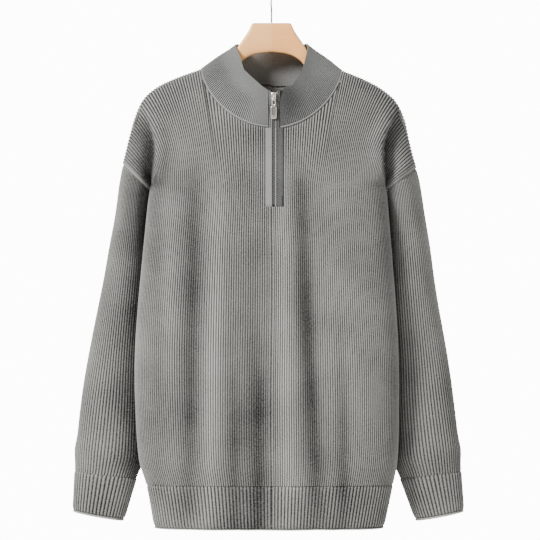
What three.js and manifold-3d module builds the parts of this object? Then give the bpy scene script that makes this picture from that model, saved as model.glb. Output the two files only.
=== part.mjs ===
// A quarter zip sweater in ribbed knit, hanging on a wooden hanger. Millimetres, +Z up.
// The origin is the inside of the hook's crown, where a rail carries the hanger. The front faces -Y. Left and right
// are as seen from the front, with -X on the left. A drop is a distance below the origin.
import Module from "manifold-3d";
import * as THREE from "three";
import { mergeVertices } from "three/addons/utils/BufferGeometryUtils.js";

// Cloth
const CLOTH = 2.6;
const SEAM_GAP = 0.3;
const RIB_HEIGHT = 1.2;
const BAND_RIB_HEIGHT = 1.6;

// Levels, as drops
const UNDERARM_DROP = 338.9;
const HEM_TOP_DROP = 795.3;
const HEM_BOTTOM_DROP = 863.7;

// Where the panels are divided, as shares of a panel's half width, and of the way round the body
const NECK_SHARE = 0.42;
const FRONT_SHARE = 0.5;
const SIDE_CROWDING = 0.06;

// The body's section is a flattened oval whose widest line lies at this Y
const SIDE_Y = -8;
const SECTION_POWER = 2.4;

// Half widths and depths of the body at each level
const BODY = [
  { drop: 338.9, left: 184.4, right: 174.0, front: 55, back: 52 },
  { drop: 397, left: 190.5, right: 178.6, front: 58, back: 54 },
  { drop: 444, left: 195.1, right: 182.5, front: 58, back: 54 },
  { drop: 524, left: 202.5, right: 188.4, front: 56, back: 53 },
  { drop: 591, left: 206.6, right: 192.0, front: 54, back: 51 },
  { drop: 664, left: 206.6, right: 193.0, front: 52, back: 49 },
  { drop: 756, left: 200.6, right: 190.8, front: 50, back: 47 },
  { drop: 795.3, left: 189.0, right: 183.5, front: 46, back: 43 },
  { drop: 863.7, left: 176.7, right: 169.1, front: 44, back: 41 },
];

// The shoulder line and the outer edge of the dropped shoulder, from the neck to the armhole seam
const SHOULDER = [
  { share: 0.42, leftX: 107.9, leftDrop: 159.3, rightX: 107.9, rightDrop: 161.5 },
  { share: 0.55, leftX: 145.5, leftDrop: 173.0, rightX: 141.5, rightDrop: 175.2 },
  { share: 0.66, leftX: 175.2, leftDrop: 187.4, rightX: 168.5, rightDrop: 190.0 },
  { share: 0.74, leftX: 196.0, leftDrop: 206.0, rightX: 189.5, rightDrop: 208.5 },
  { share: 0.82, leftX: 208.5, leftDrop: 234.0, rightX: 202.5, rightDrop: 236.0 },
  { share: 0.91, leftX: 217.5, leftDrop: 265.5, rightX: 210.5, rightDrop: 270.5 },
  { share: 1.0, leftX: 225.7, leftDrop: 299.1, rightX: 219.6, rightDrop: 305.0 },
];

// The sleeves' sections. Tilt is how much lower the inner edge is than the outer one.
const SLEEVE = [
  { drop: 334, leftOut: 232.5, leftIn: 190, rightOut: 227.0, rightIn: 179.5, tilt: 36, y: 7, depth: 49 },
  { drop: 385, leftOut: 240.5, leftIn: 190, rightOut: 236.0, rightIn: 178.5, tilt: 22, y: 21, depth: 45 },
  { drop: 444, leftOut: 253.2, leftIn: 190, rightOut: 247.1, rightIn: 177.0, tilt: 16, y: 30, depth: 41 },
  { drop: 518, leftOut: 267.0, leftIn: 193, rightOut: 257.8, rightIn: 179.5, tilt: 13, y: 34, depth: 38 },
  { drop: 591, leftOut: 279.2, leftIn: 195, rightOut: 268.5, rightIn: 181.5, tilt: 12, y: 34, depth: 36 },
  { drop: 665, leftOut: 291.5, leftIn: 194, rightOut: 279.2, rightIn: 181.0, tilt: 12, y: 32, depth: 34 },
  { drop: 738, leftOut: 301.0, leftIn: 197, rightOut: 289.5, rightIn: 186.0, tilt: 12, y: 27, depth: 33 },
  { drop: 774, leftOut: 302.0, leftIn: 208, rightOut: 291.0, rightIn: 198.0, tilt: 11, y: 23, depth: 26 },
  { drop: 837.5, leftOut: 305.0, leftIn: 228, rightOut: 295.4, rightIn: 222.6, tilt: 14, y: 21, depth: 22 },
];
const CUFF_TOP_ROW = 7;
const ARMHOLE_DEPTH = 52;
const WELT_LENGTH = 4.4;
const WELT_PROUD = 1.0;
const UNDERARM_CLEARANCE = 1.2;

// The neckline is an oval that dips at the front and, less, at the back
const NECK_HALF_WIDTH = 107.9;
const NECK_FRONT = { y: -56, dip: 91.7, power: 1.28 };
const NECK_BACK = { y: 38, dip: 23, power: 1.2 };
const NECK_WELT_LENGTH = 3.0;

// The collar's top edge, by the angle round the neck from the front
const COLLAR_WALL = 3.2;
const COLLAR_TOP = [
  { turn: 0, x: 2, y: -53, drop: 197 },
  { turn: 27, x: 25, y: -46, drop: 178.5 },
  { turn: 52, x: 42, y: -33, drop: 161 },
  { turn: 68, x: 47.5, y: -20, drop: 142 },
  { turn: 90, x: 55, y: -1, drop: 121.5 },
  { turn: 135, x: 41, y: 23, drop: 121 },
  { turn: 180, x: 0, y: 32, drop: 123 },
];
const COLLAR_BULGE = 3;

// Soft folds on the panels. Depth is how far the cloth sinks, and a negative depth is a ridge.
const FRONT_FOLDS = [
  { top: 330, bottom: 800, topX: -118, bottomX: -127, width: 17, depth: 4.5 },
  { top: 300, bottom: 820, topX: 47, bottomX: 64, width: 15, depth: 6.5 },
  { top: 430, bottom: 830, topX: -68, bottomX: -70, width: 12, depth: 3.0 },
  { top: 400, bottom: 790, topX: -20, bottomX: -12, width: 12, depth: 3.0 },
  { top: 480, bottom: 830, topX: 105, bottomX: 108, width: 13, depth: 3.5 },
  { top: 380, bottom: 800, topX: 26, bottomX: 30, width: 14, depth: -2.5 },
  { top: 360, bottom: 780, topX: -150, bottomX: -150, width: 15, depth: -2.5 },
];
const BACK_FOLDS = [
  { top: 280, bottom: 820, topX: -60, bottomX: -74, width: 17, depth: 6.0 },
  { top: 320, bottom: 830, topX: 74, bottomX: 92, width: 16, depth: 5.0 },
  { top: 380, bottom: 800, topX: 8, bottomX: 14, width: 15, depth: 3.5 },
  { top: 420, bottom: 790, topX: 128, bottomX: 134, width: 14, depth: 3.0 },
  { top: 360, bottom: 800, topX: -118, bottomX: -126, width: 15, depth: 3.5 },
];

// The fold where the chest's edge stands in front of the dropped shoulder
const ARMPIT_FOLD = { share: 0.83, width: 0.07, depth: 10, pullShare: 0.78, pullWidth: 0.1, pull: 7 };
const CAP_BLEND = { from: 0.62, to: 0.95 };

// How the chest comes forward below the shoulder: round at the shoulder, straight near the neckline
const SHOULDER_ROUNDNESS = 0.6;
const NECK_BLEND = 0.4;
const FOLD_ENDS = 0.7;

// Small steps along a surface to find its slopes
const SHARE_STEP = 0.004;
const TURN_STEP = 0.01;

// Ribs on a panel: in the zip's slit, from the slit to the neck point, and from there to the armhole
const SLIT_RIBS = 2;
const LEFT_NECK_RIBS = 7;
const RIGHT_NECK_RIBS = 6;
const SHOULDER_RIBS = 11;
const SLEEVE_RIBS = 24;
const CUFF_RIBS = 46;
const HEM_RIBS_PER_QUARTER = 42;
const HEM_END_SHARE = 0.9996;
const HEM_MIDDLE_SHARE = 0.0008;
const WELT_COLUMNS = 40;
const COLLAR_COLUMNS = 61;
const CUTTER_COLUMNS = 96;
const COLLAR_ROWS = [0, 0.12, 0.35, 0.6, 0.82];

// Zip and its facings
const ZIP_X = 4.3;
const ZIP_TOP_DROP = 197;
const SLIT_LEFT_X = -9.8;
const SLIT_RIGHT_X = 18.5;
const SLIT_BOTTOM_DROP = 371;
const STRIP_DROPS = [275, 300, UNDERARM_DROP];
const COLLAR_STRIP_DROP = 225;
const CHAIN_WIDTH = 4.6;
const CHAIN_THICKNESS = 1.6;
const ZIP_GAP = 6.4;
const TAPE_WIDTH = 16;
const TAPE_WALL = 0.8;
const FACING_WALL = 2.2;
const FACING_PROUD = 0.4;
const COLLAR_FACING_WIDTH = 5.4;
const SLIDER = { width: 8.4, height: 13, thickness: 3.0, drop: 198.5, corner: 2.2, bevel: 0.4 };
const BRIDGE = { width: 2.2, height: 9.0, rise: 3.8, bar: 1.1, foot: 1.8, below: 8.0 };
const LINK = { halfWidth: 3.2, wire: 1.4, length: 13, forward: 1.25, lower: 0.6, bevel: 0.3 };
const PULL = { width: 9.6, height: 19, thickness: 1.7, corner: 1.6, holeRadius: 1.3, border: 1.7, bevel: 0.35 };

// Hanger
const WOOD_THICKNESS = 10;
const WOOD_ROUNDING = 4;
const WOOD_CENTRE_Y = 0;
const WOOD_UNDER_SHOULDER = 5.7;
const WOOD_TOP = [
  { x: 29, drop: 88 },
  { x: 31, drop: 90.5 },
  { x: 35, drop: 100 },
  { x: 41, drop: 109 },
  { x: 50, drop: 122 },
  { x: 61, drop: 142 },
  { x: 82, drop: 161 },
];
const WOOD_UNDER = [
  { x: 158, drop: 206 },
  { x: 120, drop: 190 },
  { x: 80, drop: 175 },
  { x: 56, drop: 160 },
  { x: 44, drop: 146 },
  { x: 27, drop: 136.5 },
  { x: 0, drop: 132.4 },
];
const WOOD_SHOULDER_SHARES = [0.46, 0.54, 0.59];
const WOOD_END = { x: 165, drop: 200 };
const HOOK_WIRE = 1.4;
const HOOK_RADIUS = 22;
const HOOK_STRAIGHT_DROP = 52;
const HOOK_LEAD_DROP = 68;
const HOOK_STEPS = 32;
const HOOK_END_TURN = 200;
const HOOK_TURN_STEP = 25;

// The hook's bend from its straight shank to its arc, in multiples of the arc's radius
const HOOK_BEND = [
  { x: 0.32, drop: 1.86 },
  { x: 0.78, drop: 1.53 },
];

const COLOURS = { knit: 0x8c8f8a, collar: 0x8a8d88, facing: 0x9a9b97, tape: 0x5a5b59, metal: 0xb9b6b0, wood: 0xe3b98c };

const LEFT = -1;
const RIGHT = 1;
const FRONT = { toward: -1, neck: NECK_FRONT, folds: FRONT_FOLDS };
const BACK = { toward: 1, neck: NECK_BACK, folds: BACK_FOLDS };
const DOWN = new THREE.Vector3(0, 0, -1);

const wasm = await Module();
wasm.setup();
const group = new THREE.Group();

function at(x, y, drop) {
  return new THREE.Vector3(x, y, -drop);
}

function sideKey(side) {
  return side === LEFT ? "left" : "right";
}

function bell(x, middle, width) {
  return Math.exp(-(((x - middle) / width) ** 2));
}

// Reads a column of a table between its rows, on a smooth curve through them.
function along(table, by, place, column) {
  const last = table.length - 1;
  let row = 0;
  while (row < last - 1 && place > table[row + 1][by]) row += 1;
  const slope = (i) => {
    const before = table[Math.max(i - 1, 0)];
    const after = table[Math.min(i + 1, last)];
    return (after[column] - before[column]) / (after[by] - before[by]);
  };
  const low = table[row];
  const high = table[row + 1];
  const span = high[by] - low[by];
  const t = THREE.MathUtils.clamp((place - low[by]) / span, 0, 1);
  const rise = t * t * (3 - 2 * t);
  const leave = t * (1 - t) * (1 - t) * span * slope(row);
  const arrive = t * t * (1 - t) * span * slope(row + 1);
  return low[column] + (high[column] - low[column]) * rise + leave - arrive;
}

// The oval's angle for each share of its length from the front's middle to the back's, at the body's usual size.
const OVAL_STEPS = 400;
const ovalLengths = [0];
for (let i = 1; i <= OVAL_STEPS; i += 1) {
  const a = ovalPoint((Math.PI * (i - 1)) / OVAL_STEPS);
  const b = ovalPoint((Math.PI * i) / OVAL_STEPS);
  ovalLengths.push(ovalLengths[i - 1] + Math.hypot((a.x - b.x) * BODY[3].left, (a.y - b.y) * BODY[3].front));
}

function ovalPoint(turn) {
  const power = 2 / SECTION_POWER;
  const x = Math.max(Math.sin(turn), 0) ** power;
  const y = -Math.sign(Math.cos(turn)) * Math.abs(Math.cos(turn)) ** power;
  return { x, y };
}

function ovalTurn(share) {
  const wanted = share * ovalLengths[OVAL_STEPS];
  let i = 1;
  while (i < OVAL_STEPS && ovalLengths[i] < wanted) i += 1;
  const t = (wanted - ovalLengths[i - 1]) / (ovalLengths[i] - ovalLengths[i - 1]);
  return (Math.PI * (i - 1 + t)) / OVAL_STEPS;
}

// A point of the body's tube, by its share of the way round from the front's middle to the back's.
function bodyPoint(side, share, drop) {
  const oval = ovalPoint(ovalTurn(share));
  const half = along(BODY, "drop", drop, sideKey(side));
  const depth = along(BODY, "drop", drop, oval.y < 0 ? "front" : "back");
  return at(side * half * oval.x, SIDE_Y + oval.y * depth, drop);
}

function neckPoint(face, side, across) {
  const forward = Math.sqrt(Math.max(1 - across * across, 0));
  const shoulderDrop = SHOULDER[0][`${sideKey(side)}Drop`];
  return at(
    side * NECK_HALF_WIDTH * across,
    face.neck.y * forward,
    shoulderDrop + face.neck.dip * forward ** face.neck.power,
  );
}

function shoulderPoint(side, share) {
  const key = sideKey(side);
  return at(side * along(SHOULDER, "share", share, `${key}X`), 0, along(SHOULDER, "share", share, `${key}Drop`));
}

// A tilted oval ring through an outer and an inner point, with its half depth along Y.
function ring(outer, inner, depth) {
  const middle = outer.clone().add(inner).multiplyScalar(0.5);
  const reach = outer.clone().sub(middle);
  const point = (turn) =>
    middle.clone().addScaledVector(reach, Math.cos(turn)).add(at(0, -depth * Math.sin(turn), 0));
  const outward = (turn) =>
    reach
      .clone()
      .multiplyScalar(Math.cos(turn) / reach.lengthSq())
      .add(at(0, -Math.sin(turn) / depth, 0))
      .normalize();
  return { point, outward, middle };
}

function sideSeam(side, drop) {
  return bodyPoint(side, FRONT_SHARE, drop);
}

function armhole(side) {
  return ring(shoulderPoint(side, 1), sideSeam(side, UNDERARM_DROP), ARMHOLE_DEPTH);
}

function panelShare(face, share) {
  const crowded = (1 + SIDE_CROWDING) * share - SIDE_CROWDING * share ** 6;
  return face === FRONT ? FRONT_SHARE * crowded : 1 - (1 - FRONT_SHARE) * crowded;
}

// How far across the neckline a panel's rib ends. The ribs are upright in the middle and fan out to the neck point.
function neckAcross(face, side, share) {
  const below = Math.abs(bodyPoint(side, panelShare(face, share), UNDERARM_DROP).x);
  const end = Math.abs(bodyPoint(side, panelShare(face, NECK_SHARE), UNDERARM_DROP).x);
  return (below + (NECK_HALF_WIDTH - end) * (share / NECK_SHARE) ** 3) / NECK_HALF_WIDTH;
}

function foldDepth(face, x, drop) {
  let sink = 0;
  for (const fold of face.folds) {
    const t = (drop - fold.top) / (fold.bottom - fold.top);
    if (t <= 0 || t >= 1) continue;
    const middle = THREE.MathUtils.lerp(fold.topX, fold.bottomX, t);
    sink += fold.depth * Math.sin(Math.PI * t) ** FOLD_ENDS * bell(x, middle, fold.width);
  }
  return sink;
}

// A panel is a sheet of two shares: across runs from -1 at the left armhole to 1 at the right one, and down runs from
// 0 at the neckline and shoulder to 1 at the underarm and 2 at the hem band.
function panelPoint(face, across, down) {
  const side = across < 0 ? LEFT : RIGHT;
  const share = Math.min(Math.abs(across), 1);
  if (down > 1) {
    const drop = THREE.MathUtils.lerp(UNDERARM_DROP, HEM_TOP_DROP, down - 1);
    const point = bodyPoint(side, panelShare(face, share), drop);
    point.y -= face.toward * foldDepth(face, point.x, drop);
    return point;
  }
  const underarm = bodyPoint(side, panelShare(face, share), UNDERARM_DROP);
  const top = share <= NECK_SHARE ? neckPoint(face, side, neckAcross(face, side, share)) : shoulderPoint(side, share);
  const point = top.clone().lerp(underarm, down);
  const atNeck = share <= NECK_SHARE ? Math.sqrt(Math.max(1 - neckAcross(face, side, share) ** 2, 0)) : 0;
  const roundness = THREE.MathUtils.lerp(SHOULDER_ROUNDNESS, 1, Math.min(atNeck / NECK_BLEND, 1));
  const forward = (1 - (1 - down) ** 2) ** roundness;
  point.y = THREE.MathUtils.lerp(top.y, underarm.y, forward);

  const open = Math.sin(Math.PI * down);
  const armpit = ARMPIT_FOLD;
  point.x -= side * armpit.pull * open * bell(share, armpit.pullShare, armpit.pullWidth);
  point.y -= face.toward * armpit.depth * open * bell(share, armpit.share, armpit.width);
  point.y -= face.toward * foldDepth(face, point.x, -point.z);

  const edge = armhole(side);
  const seam = edge.point(-face.toward * Math.PI * down);
  const start = edge.point(0);
  const end = edge.point(Math.PI);
  const straight = start.clone().lerp(end, down);
  straight.y = THREE.MathUtils.lerp(start.y, end.y, forward);
  straight.y -= face.toward * armpit.depth * open * bell(1, armpit.share, armpit.width);
  straight.x -= side * armpit.pull * open * bell(1, armpit.pullShare, armpit.pullWidth);
  const weight = THREE.MathUtils.smoothstep(share, CAP_BLEND.from, CAP_BLEND.to);
  return point.addScaledVector(seam.sub(straight), weight);
}

// The way out of the cloth at a place, from the surface's own slopes.
function outwardAt(surface, across, down, limits) {
  const left = surface(Math.max(across - SHARE_STEP, limits.left), down);
  const right = surface(Math.min(across + SHARE_STEP, limits.right), down);
  const above = surface(across, Math.max(down - SHARE_STEP, limits.top));
  const below = surface(across, Math.min(down + SHARE_STEP, limits.bottom));
  return below.sub(above).cross(right.sub(left)).normalize();
}

// The way out of the neckline, square to its edge and to the collar that stands on it.
function neckOutward(turn) {
  const edge = neckRing(turn + TURN_STEP).sub(neckRing(turn - TURN_STEP));
  const fall = neckRing(turn).sub(collarTop(turn));
  return fall.cross(edge).normalize();
}

// The neckline by the angle round the neck: 0 at the front, a right angle at +X.
function neckRing(turn) {
  const side = Math.sin(turn) < 0 ? LEFT : RIGHT;
  const face = Math.cos(turn) >= 0 ? FRONT : BACK;
  return neckPoint(face, side, Math.abs(Math.sin(turn)));
}

function collarTop(turn) {
  const degrees = THREE.MathUtils.radToDeg(Math.abs(Math.atan2(Math.sin(turn), Math.cos(turn))));
  const side = Math.sin(turn) < 0 ? LEFT : RIGHT;
  return at(
    side * along(COLLAR_TOP, "turn", degrees, "x"),
    along(COLLAR_TOP, "turn", degrees, "y"),
    along(COLLAR_TOP, "turn", degrees, "drop"),
  );
}

// A wall of cloth from a grid of points and of ways out, rows from the top down and columns anticlockwise seen from
// above. Every second column may stand proud as a rib. The inner face is plain and has half as many columns.
function clothWall({ rows, columns, point, outward, wall, rib = 0, closed = false, flatTop = false, present = () => true }) {
  const vertices = [];
  const faces = [];
  const made = new Map();
  const wrap = (j) => (closed ? j % columns : j);
  const ribAt = (i) => (i === 0 && flatTop ? 0 : rib);
  const vertex = (i, j, inner) => {
    const column = wrap(j);
    const key = `${i},${column},${inner}`;
    if (!made.has(key)) {
      const raise = inner ? -wall : column % 2 === 1 ? ribAt(i) : 0;
      const place = point(i, column).clone().addScaledVector(outward(i, column), raise);
      made.set(key, vertices.length / 3);
      vertices.push(place.x, place.y, place.z);
    }
    return made.get(key);
  };
  const pairs = closed ? columns / 2 : (columns - 1) / 2;
  const exists = (i, pair) => {
    if (i < 0 || i >= rows - 1) return false;
    if (!closed && (pair < 0 || pair >= pairs)) return false;
    return present(i, (pair + pairs) % pairs);
  };
  const rim = (i, j, flip) => {
    const [a0, a1, a2] = [0, 1, 2].map((k) => vertex(i, j + k, false));
    const [b0, b2] = [0, 2].map((k) => vertex(i, j + k, true));
    for (const [p, q, r] of [[a0, a1, b0], [a1, a2, b2], [a1, b2, b0]]) {
      faces.push(...(flip ? [q, p, r] : [p, q, r]));
    }
  };
  for (let i = 0; i < rows - 1; i += 1) {
    for (let pair = 0; pair < pairs; pair += 1) {
      if (!exists(i, pair)) continue;
      const j = 2 * pair;
      for (const k of [j, j + 1]) {
        const [a, b] = [vertex(i, k, false), vertex(i + 1, k, false)];
        const [c, d] = [vertex(i + 1, k + 1, false), vertex(i, k + 1, false)];
        faces.push(a, b, c, a, c, d);
      }
      const [a, b] = [vertex(i, j, true), vertex(i + 1, j, true)];
      const [c, d] = [vertex(i + 1, j + 2, true), vertex(i, j + 2, true)];
      faces.push(a, c, b, a, d, c);
      if (!exists(i - 1, pair)) rim(i, j, false);
      if (!exists(i + 1, pair)) rim(i + 1, j, true);
      if (!exists(i, pair - 1)) {
        faces.push(vertex(i, j, false), a, b, vertex(i, j, false), b, vertex(i + 1, j, false));
      }
      if (!exists(i, pair + 1)) {
        const top = vertex(i, j + 2, false);
        faces.push(top, vertex(i + 1, j + 2, false), c, top, c, d);
      }
    }
  }
  const geometry = new THREE.BufferGeometry();
  geometry.setAttribute("position", new THREE.Float32BufferAttribute(vertices, 3));
  geometry.setIndex(faces);
  return geometry;
}

function addPiece(name, geometry, colour, roughness = 0.95, metalness = 0) {
  const mesh = new THREE.Mesh(geometry, new THREE.MeshStandardMaterial({ color: colour, roughness, metalness }));
  mesh.name = name;
  group.add(mesh);
  return mesh;
}

// Even steps from one value to another, each split in two for a rib's valley and peak.
function ribSteps(from, to, ribs) {
  const steps = [];
  for (let i = 0; i < 2 * ribs; i += 1) steps.push(THREE.MathUtils.lerp(from, to, i / (2 * ribs)));
  return steps;
}

// The share of the front's half width at a small distance from its middle.
function shareAt(x) {
  const small = 0.05;
  const side = x < 0 ? LEFT : RIGHT;
  return (small * x) / Math.abs(bodyPoint(side, panelShare(FRONT, small), UNDERARM_DROP).x);
}

const UPPER_ROWS = [0, 0.03, 0.1, 0.2, 0.34, 0.5, 0.67, 0.84, 1];
const LOWER_DROPS = [SLIT_BOTTOM_DROP, 455, 565, 680, HEM_TOP_DROP];

function panelRows() {
  const span = HEM_TOP_DROP - UNDERARM_DROP;
  return [...UPPER_ROWS, ...LOWER_DROPS.map((drop) => 1 + (drop - UNDERARM_DROP) / span)];
}

function frontColumns() {
  const slitLeft = shareAt(SLIT_LEFT_X);
  const slitRight = shareAt(SLIT_RIGHT_X);
  return [
    ...ribSteps(-1, -NECK_SHARE, SHOULDER_RIBS),
    ...ribSteps(-NECK_SHARE, slitLeft, LEFT_NECK_RIBS),
    ...ribSteps(slitLeft, slitRight, SLIT_RIBS),
    ...ribSteps(slitRight, NECK_SHARE, RIGHT_NECK_RIBS),
    ...ribSteps(NECK_SHARE, 1, SHOULDER_RIBS),
    1,
  ];
}

function backColumns() {
  const neckRibs = LEFT_NECK_RIBS + RIGHT_NECK_RIBS + SLIT_RIBS;
  return [
    ...ribSteps(1, NECK_SHARE, SHOULDER_RIBS),
    ...ribSteps(NECK_SHARE, -NECK_SHARE, neckRibs),
    ...ribSteps(-NECK_SHARE, -1, SHOULDER_RIBS),
    -1,
  ];
}

// Keeps the front and back half a seam gap apart along the shoulders and the side seams.
function partedPoint(face, across, down) {
  const point = panelPoint(face, across, down);
  const atSeam = Math.abs(across) === 1 || (down === 0 && Math.abs(across) >= NECK_SHARE);
  if (atSeam) point.y += (face.toward * SEAM_GAP) / 2;
  return point;
}

function panelOutward(face, across, down) {
  const side = across < 0 ? LEFT : RIGHT;
  const share = Math.abs(across);
  if (share === 1 && down === 1) return DOWN;
  if (share === 1 && down < 1) return armhole(side).outward(-face.toward * Math.PI * down);
  if (down === 0 && share <= NECK_SHARE) {
    const turn = Math.asin(Math.min(neckAcross(face, side, share), 1));
    return neckOutward(side * (face === FRONT ? turn : Math.PI - turn));
  }
  const limits = { left: -1, right: 1, top: 0, bottom: 2 };
  const way = outwardAt((a, d) => panelPoint(face, a, d), across, down, limits);
  if (face === BACK) way.negate();
  if (down === 0) way.setY(0).normalize();
  return way;
}

function makePanel(name, face, columns, present) {
  const rows = panelRows();
  const geometry = clothWall({
    rows: rows.length,
    columns: columns.length,
    point: (i, j) => partedPoint(face, columns[j], rows[i]),
    outward: (i, j) => panelOutward(face, columns[j], rows[i]),
    wall: CLOTH,
    rib: RIB_HEIGHT,
    flatTop: true,
    present,
  });
  addPiece(name, toGeometry(toSolid(geometry).subtract(neckCutter())), COLOURS.knit);
}

// The space that the neck seam's welt takes, with the seam gap round it.
function neckCutter() {
  const above = [NECK_WELT_LENGTH + 3 * SEAM_GAP, -SEAM_GAP];
  const turn = (j) => (2 * Math.PI * j) / CUTTER_COLUMNS;
  const geometry = clothWall({
    rows: above.length,
    columns: CUTTER_COLUMNS,
    point: (i, j) =>
      collarPoint(turn(j), collarShareAbove(turn(j), above[i])).addScaledVector(
        neckOutward(turn(j)),
        WELT_PROUD + SEAM_GAP,
      ),
    outward: (i, j) => neckOutward(turn(j)),
    wall: 3 * CLOTH,
    closed: true,
  });
  return toSolid(geometry);
}

function makePanels() {
  const slitRow = UPPER_ROWS.length;
  const slitStart = SHOULDER_RIBS + LEFT_NECK_RIBS;
  const inSlit = (i, pair) => i < slitRow && pair >= slitStart && pair < slitStart + SLIT_RIBS;
  makePanel("front_panel", FRONT, frontColumns(), (i, pair) => !inSlit(i, pair));
  makePanel("back_panel", BACK, backColumns(), () => true);
}

// The sleeve's sections from the armhole seam down, moved clear of the panels at the underarm.
function sleeveRings(side) {
  const key = sideKey(side);
  const outer = shoulderPoint(side, 1);
  const inner = sideSeam(side, UNDERARM_DROP).add(at(side * UNDERARM_CLEARANCE, 0, SEAM_GAP));
  const rings = [ring(outer.add(at(0, 0, SEAM_GAP)), inner, ARMHOLE_DEPTH)];
  for (const row of SLEEVE) {
    const out = at(side * row[`${key}Out`], row.y, row.drop);
    const within = at(side * row[`${key}In`], row.y, row.drop + row.tilt);
    rings.push(ring(out, within, row.depth));
  }
  return rings;
}

function ringTurn(side, j, columns) {
  return ((-side * 2 * Math.PI * j) / columns + 2 * Math.PI) % (2 * Math.PI);
}

function makeSleeve(side) {
  const key = sideKey(side);
  const rings = sleeveRings(side);
  const axis = rings[1].middle.clone().sub(rings[0].middle).normalize();
  const moved = (length) => ({
    point: (turn) => rings[0].point(turn).addScaledVector(axis, length),
    outward: rings[0].outward,
  });

  const welt = [moved(0), moved(WELT_LENGTH / 2), moved(WELT_LENGTH)];
  const weltProud = (turn) => WELT_PROUD * Math.sqrt((1 + Math.cos(turn)) / 2);
  const weltGeometry = clothWall({
    rows: welt.length,
    columns: WELT_COLUMNS,
    point: (i, j) => {
      const turn = ringTurn(side, j, WELT_COLUMNS);
      const proud = i === 1 ? weltProud(turn) : 0;
      return welt[i].point(turn).addScaledVector(welt[i].outward(turn), proud);
    },
    outward: (i, j) => welt[i].outward(ringTurn(side, j, WELT_COLUMNS)),
    wall: CLOTH,
    closed: true,
  });
  addPiece(`armhole_welt_${key}`, weltGeometry, COLOURS.collar);

  const tube = [moved(WELT_LENGTH + SEAM_GAP), ...rings.slice(1, CUFF_TOP_ROW + 2)];
  const columns = 2 * SLEEVE_RIBS;
  const sleeveGeometry = clothWall({
    rows: tube.length,
    columns,
    point: (i, j) => tube[i].point(ringTurn(side, j, columns)),
    outward: (i, j) => tube[i].outward(ringTurn(side, j, columns)),
    wall: CLOTH,
    rib: RIB_HEIGHT,
    closed: true,
    flatTop: true,
  });
  addPiece(`sleeve_${key}`, sleeveGeometry, COLOURS.knit);

  const cuffAxis = rings[CUFF_TOP_ROW + 2].middle.clone().sub(rings[CUFF_TOP_ROW + 1].middle).normalize();
  const cuffTop = rings[CUFF_TOP_ROW + 1];
  const cuffBottom = rings[CUFF_TOP_ROW + 2];
  const cuffColumns = 2 * CUFF_RIBS;
  const cuffGeometry = clothWall({
    rows: 2,
    columns: cuffColumns,
    point: (i, j) => {
      const turn = ringTurn(side, j, cuffColumns);
      return i === 0 ? cuffTop.point(turn).addScaledVector(cuffAxis, SEAM_GAP) : cuffBottom.point(turn);
    },
    outward: (i, j) => (i === 0 ? cuffTop : cuffBottom).outward(ringTurn(side, j, cuffColumns)),
    wall: CLOTH,
    rib: BAND_RIB_HEIGHT,
    closed: true,
  });
  addPiece(`cuff_${key}`, cuffGeometry, COLOURS.knit);
}

// A quarter of the hem band, from a side seam to the middle, hanging from the panels' lower edge.
function makeHem(name, face, side) {
  const ends = [side, side * HEM_MIDDLE_SHARE];
  if (side === -face.toward) ends.reverse();
  const columns = ribSteps(ends[0], ends[1], HEM_RIBS_PER_QUARTER);
  columns.push(ends[1]);
  const drops = [HEM_TOP_DROP + SEAM_GAP, HEM_BOTTOM_DROP];
  const surface = (across, drop) => {
    const side = across < 0 ? LEFT : RIGHT;
    const share = Math.abs(across) * HEM_END_SHARE;
    const point = bodyPoint(side, panelShare(face, share), drop);
    point.y -= face.toward * foldDepth(face, point.x, HEM_TOP_DROP - 1);
    return point;
  };
  const geometry = clothWall({
    rows: drops.length,
    columns: columns.length,
    point: (i, j) => surface(columns[j], drops[i]),
    outward: (i, j) => {
      const left = surface(Math.max(columns[j] - SHARE_STEP, -1), drops[i]);
      const right = surface(Math.min(columns[j] + SHARE_STEP, 1), drops[i]);
      const way = right.sub(left).multiplyScalar(-face.toward);
      return new THREE.Vector3(way.y, -way.x, 0).normalize();
    },
    wall: CLOTH,
    rib: BAND_RIB_HEIGHT,
  });
  addPiece(name, geometry, COLOURS.knit);
}

// The collar's surface: turn goes round the neck, and down goes from 0 at the top edge to 1 at the neckline.
function collarPoint(turn, down) {
  const top = collarTop(turn);
  const base = neckRing(turn);
  const bulge = COLLAR_BULGE * Math.sin(Math.PI * down);
  return top.lerp(base, down).addScaledVector(neckOutward(turn), bulge);
}

function collarShareAbove(turn, length) {
  return 1 - length / collarTop(turn).distanceTo(neckRing(turn));
}

// The angle round the neck at which the neckline, or the collar's top edge, is this far from the middle.
function collarTurnAt(x, down) {
  let low = -Math.PI / 3;
  let high = Math.PI / 3;
  while (high - low > 1e-6) {
    const middle = (low + high) / 2;
    if (collarPoint(middle, down).x < x) low = middle;
    else high = middle;
  }
  return (low + high) / 2;
}

function collarEdges(down) {
  const half = ZIP_GAP / 2 + COLLAR_FACING_WIDTH + 2 * SEAM_GAP;
  return { start: collarTurnAt(ZIP_X + half, down), end: 2 * Math.PI + collarTurnAt(ZIP_X - half, down) };
}

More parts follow.
